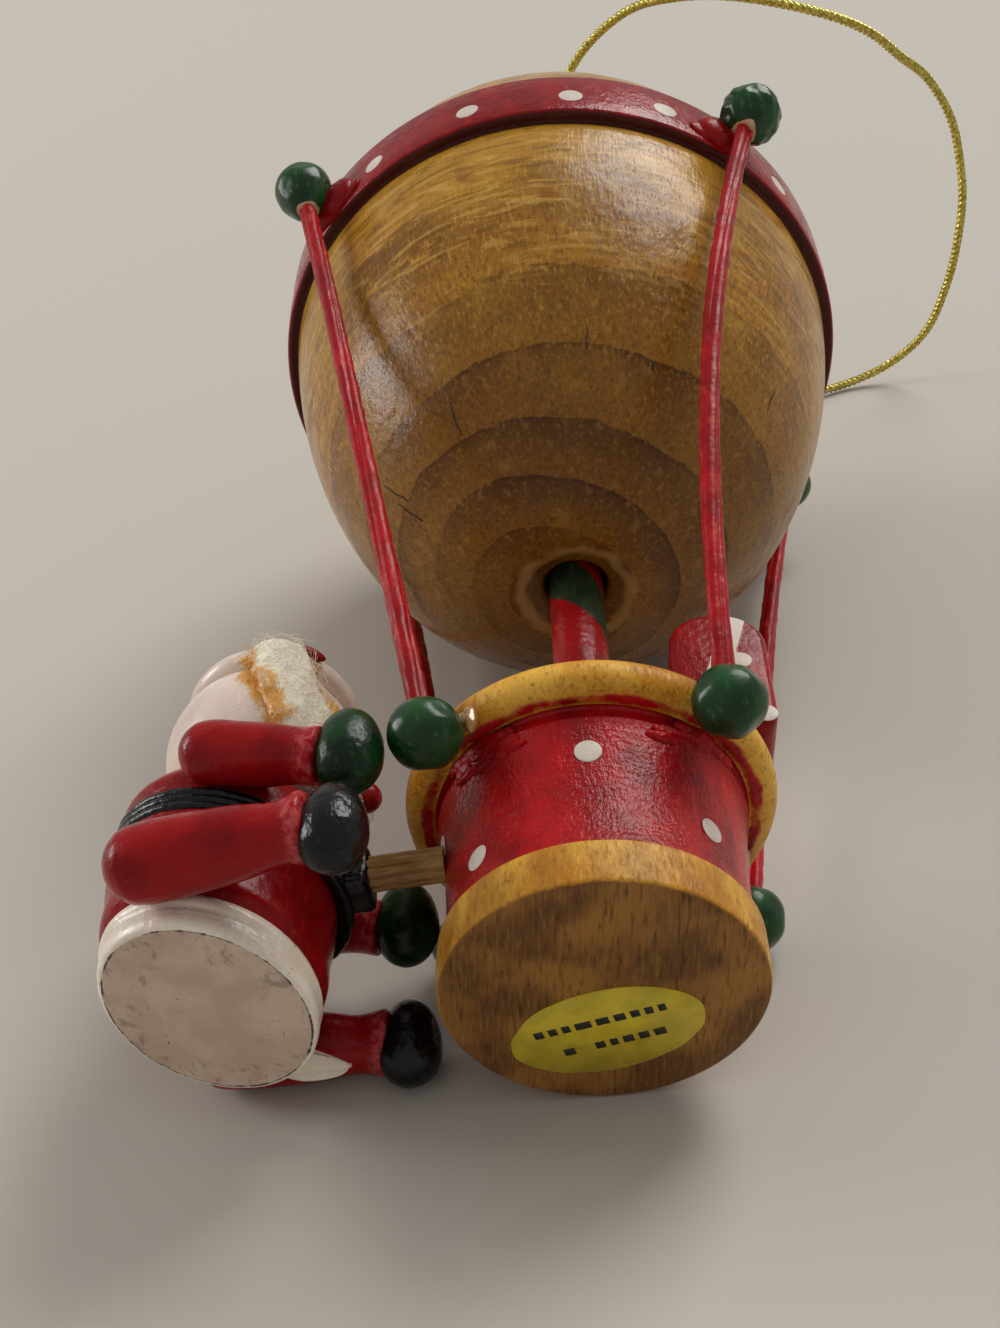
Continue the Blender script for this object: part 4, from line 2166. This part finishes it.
@dataclass
class FigureBody:
    """The seated figure's coat with its hem, belt and buckle."""

    hem_radius: float = 8.74
    tier_radius: float = 9.05
    hem_height: float = 4.0
    coat_radius: float = 9.5
    widest: float = 9.5
    belt_height: float = 13.9
    belt_width: float = 2.5
    belt_proud: float = 0.35
    belt_tilt: float = 0.2
    belt_front: float = 14.0
    shoulder_radius: float = 7.4
    shoulder_height: float = 19.6
    neck_radius: float = 5.5
    neck_height: float = 20.5
    belly: float = 0.2
    buckle_size: float = 4.2
    buckle_thickness: float = 2.4
    buckle_reach: float = 11.5
    buckle_height: float = 11.6
    buckle_rounding: float = 0.6
    sole_tilt: tuple[float, float, float] = (-0.2, -0.13, -0.35)
    flap_place: tuple[float, float, float] = (5.1, 8.5, 2.7)
    flap_turn: float = 0.12

    def settle(self, mesh: Mesh) -> Mesh:
        """Pushes the belly forward, tips the belt and slants the sole.

        Args:
            mesh: an upright turned piece of the coat.

        Returns:
            The same mesh, moved.
        """
        for vertex in mesh.vertices:
            x, y, z = vertex.co
            amount = math.sin(math.pi * clamp((z - self.hem_height) / (self.neck_height - self.hem_height)))
            low = 1.0 - ease((z - 2.5) / 8.0)
            slant = (self.sole_tilt[0] * x + self.sole_tilt[1] * y + self.sole_tilt[2]) * low
            vertex.co = (x + self.belly * amount, y, z - self.belt_tilt * x * amount + slant)
        return mesh

    def broaden(self, mesh: Mesh) -> Mesh:
        """Makes the belt broad and thick at the front, where the buckle is.

        Args:
            mesh: the turned belt.

        Returns:
            The same mesh, moved.
        """
        for vertex in mesh.vertices:
            x, y, z = vertex.co
            away = abs(math.degrees(math.atan2(y, x)) - self.belt_front)
            front = ease((62.0 - away) / 34.0)
            rise = (z - self.belt_height) * (1.0 + 0.8 * front) - 0.6 * front
            grow = 1.0 + 0.13 * front * min(1.0, math.hypot(x, y) / 8.0)
            vertex.co = (x * grow, y * grow, self.belt_height + rise)
        return mesh

    def coat_profile(self) -> Profile:
        """The coat's outline from inside the hem up to the neck.

        Returns:
            Pairs of radius and height.
        """
        knots = [
            (self.hem_radius - 0.2, self.hem_height - 0.6), (self.hem_radius + 0.45, self.hem_height + 0.5),
            (self.coat_radius - 0.25, (self.hem_height + self.widest) / 2), (self.coat_radius, self.widest),
            (self.coat_radius - 0.2, 12.6), (self.coat_radius - 0.55, self.belt_height + 1.1),
            (9.0, 17.3), (8.3, 18.7), (self.shoulder_radius - 0.3, 19.75),
            (self.neck_radius, self.neck_height),
        ]
        return [(0.0, self.hem_height - 0.6), *smooth_profile(knots, 6), (0.0, self.neck_height)]

    def belt_profile(self) -> Profile:
        """The belt: three soft ridges round the coat.

        Returns:
            Pairs of radius and height.
        """
        low = self.belt_height - self.belt_width / 2
        outer = self.coat_radius - 0.25 + self.belt_proud
        inner = outer - 1.2
        points = [(0.0, low + 0.3), (inner, low + 0.2), (outer - 0.5, low - 0.02)]
        for ridge in range(3):
            middle = low + self.belt_width * (ridge + 0.5) / 3
            top = outer - 0.06 * ridge
            for angle in map(math.radians, (-80, -50, -20, 20, 50, 80)):
                points.append((top - 0.36 + 0.34 * math.cos(angle), middle + 0.43 * math.sin(angle)))
        high = low + self.belt_width
        return points + [(outer - 0.65, high + 0.02), (inner, high - 0.2), (0.0, high - 0.3)]

    def hem_profile(self) -> Profile:
        """The hem: a flat sole, a low tier and a rolled upper tier.

        Returns:
            Pairs of radius and height.
        """
        r, tier = self.hem_radius, self.tier_radius
        return [
            (0.0, 0.1), (5.0, 0.06), (8.0, 0.0), (r - 0.42, 0.0), (r - 0.2, 0.05), (r - 0.03, 0.25),
            (r + 0.08, 0.7), (r + 0.1, 1.2), (r - 0.02, 1.55), (r + 0.05, 1.75), (tier - 0.42, 1.95),
            (tier - 0.16, 2.2), (tier - 0.06, 2.55), (tier - 0.1, 2.95), (tier - 0.3, 3.35),
            (tier - 0.6, 3.62), (r - 0.05, 3.74), (r - 0.6, 3.8), (0.0, 3.8),
        ]

    def flap(self) -> Mesh:
        """The pointed, creased flap of the hem over the root of the far leg.

        Returns:
            The flap's mesh.
        """
        work = bmesh.new()
        bmesh.ops.create_icosphere(work, subdivisions=5, radius=1.0)
        place = Matrix.Translation(self.flap_place) @ Matrix.Rotation(self.flap_turn, 4, "Z")
        for vertex in work.verts:
            x, y, z = vertex.co
            taper = max(0.14, 1.0 - 0.55 * max(0.0, x) ** 1.3)
            crease = 0.3 * math.sin(6.0 * y + 1.0) * max(0.0, x + 0.2) * (1.0 if z < 0 else 0.0)
            vertex.co = Vector((x * 4.3, y * 1.55 * taper, z * 1.1 * taper + crease + 0.3 * x * x))
        bmesh.ops.transform(work, matrix=place, verts=work.verts)
        return self.settle(finished(work, "flap"))

    def buckle(self) -> Mesh:
        """The lumpy black buckle block at the belly, which the peg enters.

        Returns:
            The block's mesh about its own middle.
        """
        work = bmesh.new()
        bmesh.ops.create_cube(work, size=1.0)
        bmesh.ops.subdivide_edges(work, edges=work.edges, cuts=9, use_grid_fill=True)
        half = Vector((self.buckle_thickness / 2, self.buckle_size / 2, self.buckle_size / 2))
        r = self.buckle_rounding
        for vertex in work.verts:
            full = 2 * vertex.co * half
            core = Vector((max(-half[i] + r, min(half[i] - r, full[i])) for i in range(3)))
            away = full - core
            spot = core + (away.normalized() * r if away.length > 1e-6 else Vector())
            vertex.co = spot * (1 + 0.05 * noise.noise(spot * 0.9))
        return finished(work, "buckle")

    def build(self, bench: Bench, figure: OrnamentFrame) -> None:
        """Makes the coat, hem, belt and buckle.

        Args:
            bench: what the making needs.
            figure: the figure's frame.
        """
        coat = self.settle(bench.lathe.turn(self.coat_profile(), RED.material(figure), 128, 0.12, 4.0, 2.0))
        bench.fit("coat", coat, figure, ["santa_body"])
        belt = bench.lathe.turn(self.belt_profile(), BLACK.material(figure), 160, 0.14, 2.0, 5.0)
        belt = self.settle(self.broaden(belt))
        bench.fit("belt", belt, figure)
        white = WornWhite(HEM_WHITE, self.hem_radius - 0.42, self.sole_tilt).material(figure)
        hem = self.settle(bench.lathe.turn(self.hem_profile(), white, 160, 0.16, 3.0, 8.0))
        bench.fit("hem", hem, figure)
        bench.fit("hem_flap", self.flap(), figure, (), HEM_WHITE.material(figure))
        place = figure.moved((self.buckle_reach, 0.4, self.buckle_height))
        black = BLACK.material(place)
        bench.fit("buckle_block", self.buckle(), place, ["belt_buckle"], black)


@dataclass
class FigureHead:
    """The head with its cap, cotton beard and nose; the face is left plain."""

    radius: float = 8.6
    middle: tuple[float, float, float] = (2.2, 0.6, 27.2)
    brim_drop: float = 4.9
    brim_radius: float = 7.6
    brim_height: float = 2.6
    brim_shift: tuple[float, float, float] = (0.5, -0.3, 0.0)
    cap_radius: float = 6.3
    cap_height: float = 6.3
    cap_lean: float = 0.2
    nose_radius: float = 1.4
    nose_way: tuple[float, float, float] = (1.0, 0.19, -0.47)
    neck_height: float = 20.5
    tuft_sides: int = 32
    fibre_density: float = 3.4
    fibre_length: float = 2.3
    fibre_radius: float = 0.022
    beard_half: tuple[float, float] = (2.9, 1.6)
    beard_side: tuple = (
        (2.7, 7.8, 6.9), (3.2, 7.8, 5.2), (3.9, 7.6, 2.6),
        (4.7, 7.1, -0.2), (5.6, 6.2, -2.7), (6.9, 4.2, -4.7),
    )
    beard_front: tuple[float, float, float] = (7.2, 0.0, -6.1)

    def lean(self, mesh: Mesh) -> Mesh:
        """Leans the cap's tip forward, as the part's source does.

        Args:
            mesh: the upright cap.

        Returns:
            The same mesh, moved.
        """
        for vertex in mesh.vertices:
            above = max(0.0, vertex.co.z - self.brim_drop - self.brim_height)
            vertex.co.x += self.cap_lean * above
        return mesh

    def brim_profile(self) -> Profile:
        """The brim: a soft roll round the head.

        Returns:
            Pairs of radius and height.
        """
        low, high, r = self.brim_drop, self.brim_drop + self.brim_height, self.brim_radius
        knots = [
            (6.5, low + 0.1), (r - 1.1, low), (r - 0.3, low + 0.5), (r, (low + high) / 2),
            (r - 0.3, high - 0.5), (r - 1.2, high), (6.0, high + 0.1),
        ]
        return [(0.0, low + 0.1), *smooth_profile(knots, 6), (0.0, high + 0.1)]

    def cap_profile(self) -> Profile:
        """The cap above the brim.

        Returns:
            Pairs of radius and height.
        """
        base, r, h = self.brim_drop + self.brim_height, self.cap_radius, self.cap_height
        knots = [
            (r + 0.1, base - 0.6), (r + 0.15, base + 0.1), (r, base + 0.8), (r * 0.84, base + h * 0.28),
            (r * 0.58, base + h * 0.62), (r * 0.3, base + h * 0.88), (0.6, base + h * 0.985),
        ]
        return [(0.0, base - 0.6), *smooth_profile(knots, 6), (0.0, base + h)]

    def tuft(self, shrink: float) -> Mesh:
        """The beard's lumpy core along its path over the cheeks.

        Args:
            shrink: share of its full thickness.

        Returns:
            The core's mesh about the head's middle.
        """
        near = [Vector((x, -y, z)) for x, y, z in self.beard_side]
        far = [Vector((x, y, z)) for x, y, z in reversed(self.beard_side)]
        path = smooth_path([*near, Vector(self.beard_front), *far], 9)
        work = bmesh.new()
        rows = []
        sides = self.tuft_sides
        for k, spot in enumerate(path):
            ahead = (path[min(k + 1, len(path) - 1)] - path[max(k - 1, 0)]).normalized()
            out = (spot - ahead * spot.dot(ahead)).normalized()
            across = ahead.cross(out)
            share = (k + 0.4) / (len(path) - 0.2)
            end = min(1.0, 0.3 + 3.4 * math.sin(math.pi * share))
            end *= 1.0 - 0.4 * math.exp(-(((share - 0.5) / 0.13) ** 2))
            row = []
            for j in range(sides):
                angle = 2 * math.pi * j / sides
                way = out * math.cos(angle) * self.beard_half[1]
                way += across * math.sin(angle) * self.beard_half[0]
                lump = 1 + 0.2 * noise.noise((spot + way) * 0.5) + 0.12 * noise.noise((spot + way) * 1.5)
                row.append(work.verts.new(spot + way * shrink * lump * end))
            rows.append(row)
        close_rows(work, rows)
        return finished(work, "tuft")

    def build(self, bench: Bench, figure: OrnamentFrame) -> None:
        """Makes the head, brim, cap, beard and nose.

        Args:
            bench: what the making needs.
            figure: the figure's frame.
        """
        place = figure.moved(self.middle)
        red = RED.material(place)
        white = GluedWhite(WHITE).material(place)
        r, low, high = self.radius, self.neck_height - self.middle[2], self.brim_drop + 1.0
        sphere = [(across, up) for across, up in oval(r, r, 0.0, -1.5, 1.5, 60) if low < up < high]
        head = bench.lathe.turn([(0.0, low), *sphere, (0.0, high)], white, 128, 0.14, 5.0, 4.0)
        bench.fit("head", head, place, ["santa_head"])
        brim = bench.lathe.turn(self.brim_profile(), white, 128, 0.24, 3.0, 7.0)
        brim.transform(Matrix.Translation(self.brim_shift))
        bench.fit("cap_brim", brim, place)
        cap = self.lean(bench.lathe.turn(self.cap_profile(), red, 96, 0.14, 4.0, 1.0))
        bench.fit("cap", cap, place, ["santa_cap"])
        cotton = CottonFinish().material(place)
        bench.fit("beard_core", self.tuft(0.92), place, ["santa_beard"], cotton)
        how = (self.fibre_density, self.fibre_length, self.fibre_radius)
        bench.fit("beard_fibres", bench.fibres.grow(self.tuft(0.96), cotton, *how), place)
        out, along = Vector((0.6, -0.7, 0.4)), Vector((0.75, 0.6, -0.1))
        sliver = [Dab(Vector((5.5, -6.5, 6.5)), out, (1.5, 0.6, 0.5), along)]
        bench.fit("cap_edge", bench.dabs.set(sliver, red, 0.1), place)
        n = self.nose_radius
        spot = place.moved(Vector(self.nose_way).normalized() * (r + 0.1 + n))
        ball = [(0.0, -n), *oval(n, n, 0, -1.5, 1.5, 30), (0.0, n)]
        nose = bench.lathe.turn(ball, RED.material(spot), 48, 0.1, 1.5, 2.0)
        bench.fit("nose", nose, spot, ["santa_nose"])


@dataclass
class FigureLimbs:
    """Arms with mittens and legs with boots, two of each."""

    sleeve_radius: float = 2.7
    wrist_radius: float = 2.3
    shoulder: tuple[float, float, float] = (1.6, 10.3, 17.7)
    wrist: tuple[float, float, float] = (10.3, 10.5, 15.3)
    mitten_radius: float = 2.8
    mitten_half: float = 4.2
    thigh_radius: float = 3.15
    ankle_radius: float = 2.4
    hip: tuple[float, float, float] = (-2.0, 11.7, 4.9)
    ankle: tuple[float, float, float] = (10.8, 13.1, 4.8)
    boot_radius: float = 2.75
    boot_half: float = 4.15
    rubbed: Colour = tint(206, 92, 96)

    def limb(
        self, bench: Bench, start: Vector, stop: Vector, radii: Point, flare: float, figure: OrnamentFrame
    ) -> tuple[Mesh, OrnamentFrame]:
        """A limb with a round end and a rubbed ring where the hand or boot begins.

        Args:
            bench: what the making needs.
            start: the round end's middle.
            stop: the middle of the flat end.
            radii: radius at either end.
            flare: how far the flat end widens.
            figure: the figure's frame.

        Returns:
            The mesh and its own frame.
        """
        length = (stop - start).length
        place = figure.at(Matrix.Translation(start) @ facing(stop - start))
        big, small = radii
        knots = arc((0, 0), big, -84, -20, 8)
        knots += [(big + 0.02, 0.3), (big - 0.02, length * 0.3), ((big + small) / 2 + 0.1, length * 0.6)]
        knots += [(small + 0.05, length * 0.84), (small + flare * 0.5, length * 0.94)]
        knots += [(small + flare, length + 0.25), (small + flare * 0.5, length + 0.6)]
        knots += [(small * 0.5, length + 0.75)]
        profile = [(0.0, -big), *smooth_profile(knots, 5), (0.0, length + 0.75)]
        s = Surface("rubbed red paint", place)
        skin = RED.skin(s)
        ring = s.ramp(s.times_plus(s.noise(s.place, 0.9, 3.0, 4.2), 1.6, s.z), length - 0.6, length + 0.6)
        thin = s.times(ring, s.ramp(s.noise(s.place, 1.4, 4.0, 2.2, 0.7), 0.4, 0.6))
        colour = s.layered(skin.colour, [(thin, 0.55, self.rubbed)])
        material = s.finish(Skin(colour, skin.roughness, skin.height), Specular_IOR_Level=0.18)
        return bench.lathe.turn(profile, material, 72, 0.18, 4.0, length), place

    def dipped(
        self, bench: Bench, radius: float, half: float, fullness: float, material: Material, seed: float
    ) -> Mesh:
        """A dipped mitten or boot: an egg that is fuller below.

        Args:
            bench: what the making needs.
            radius: its greatest radius.
            half: half its height.
            fullness: how much fuller it is below.
            material: its finish.
            seed: number that picks its dents.

        Returns:
            The mesh about its own middle.
        """
        points = [(r * (1 - fullness * z / half), z) for r, z in oval(radius, half, 0.0, -1.52, 1.52, 44)]
        return bench.lathe.turn([(0.0, -half), *points, (0.0, half)], material, 80, 0.3, 2.6, seed)

    def build(self, bench: Bench, figure: OrnamentFrame) -> None:
        """Makes the four limbs with their mittens and boots.

        Args:
            bench: what the making needs.
            figure: the figure's frame.
        """
        sleeve, leg = (self.sleeve_radius, self.wrist_radius), (self.thigh_radius, self.ankle_radius)
        mitten, boot = (self.mitten_radius, self.mitten_half, 0.08), (self.boot_radius, self.boot_half, 0.16)
        for sign, side in ((-1, Side.NEAR), (1, Side.FAR)):
            start, end = (Vector(spot) * Vector((1, sign, 1)) for spot in (self.shoulder, self.wrist))
            hip, ankle = (Vector(spot) * Vector((1, sign, 1)) for spot in (self.hip, self.ankle))
            where = side.value
            mesh, place = self.limb(bench, start, end, sleeve, 0.12, figure)
            bench.fit(f"sleeve_{where}", mesh, place, [f"santa_arm_{where}"])
            mesh, place = self.limb(bench, hip, ankle, leg, 0.45, figure)
            bench.fit(f"leg_{where}", mesh, place, [f"santa_leg_{where}"])
            spot = figure.moved(end + Vector((2.9, 0, 0)))
            mesh = self.dipped(bench, *mitten, MITTEN_GREEN.material(spot), 2.0 + sign)
            bench.fit(f"mitten_{where}", mesh, spot, [f"santa_mitten_{where}"])
            spot = figure.moved(ankle + Vector((2.3, 0, -0.25)))
            mesh = self.dipped(bench, *boot, BLACK.material(spot), 6.0 + sign)
            bench.fit(f"boot_{where}", mesh, spot, [f"santa_boot_{where}"])


@dataclass
class Figure:
    """The whole seated figure at the basket's side, and the peg that holds it there."""

    place: tuple[float, float, float] = (-30.8, 1.8, 1.2)
    heading: float = -9.8
    peg_radius: float = 1.5
    peg_start: float = 12.3
    peg_end: float = 18.9
    peg_height: float = 11.6
    peg_flutes: int = 9
    body: FigureBody = field(default_factory=FigureBody)
    head: FigureHead = field(default_factory=FigureHead)
    limbs: FigureLimbs = field(default_factory=FigureLimbs)

    def build(self, bench: Bench) -> None:
        """Makes the figure.

        Args:
            bench: what the making needs.
        """
        figure = bench.frame.child(self.place, self.heading)
        self.body.build(bench, figure)
        self.head.build(bench, figure)
        self.limbs.build(bench, figure)
        length = self.peg_end - self.peg_start
        path = [(self.peg_start + length * k / 12, 0.0, self.peg_height) for k in range(13)]
        wood = PEG_WOOD.material(figure)
        mesh = bench.sweep.draw(path, wood, self.peg_radius, self.peg_flutes, 0.2, 0.0, 72, 0.5, 0.06)
        bench.fit("peg_dowel", mesh, figure, ["peg"])


def plain(corners: Iterable[Vector]) -> list[list[float]]:
    """Corners as plain lists of numbers."""
    return [[float(value) for value in corner] for corner in corners]


def main() -> None:
    """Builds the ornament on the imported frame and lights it."""
    logging.basicConfig(level=logging.INFO, format="%(name)s: %(message)s")
    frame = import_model()
    PhotoCamera().build()
    rods = BeadsAndRods()
    ornament = OrnamentFrame.from_model(frame["record"], rods.upper_circle, rods.upper_bearings)
    LOG.info("frame origin %s", [round(v, 6) for v in ornament.matrix.translation])
    bench = Bench(ornament, Lathe(), FlutedSweep(), Dabs(), CottonFibres())
    HangingCord().build(bench)
    Balloon().build(bench)
    pole = StripedPole()
    Basket().build(bench, pole.radius)
    pole.build(bench)
    rods.build(bench)
    GiftParcel().build(bench)
    Figure().build(bench)
    studio = Studio()
    studio.light()
    visual_box = plain(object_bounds())
    studio.table(min(0.0, visual_box[0][2]))
    LOG.info("%d pieces", len(bench.made))


if __name__ == "__main__":
    main()
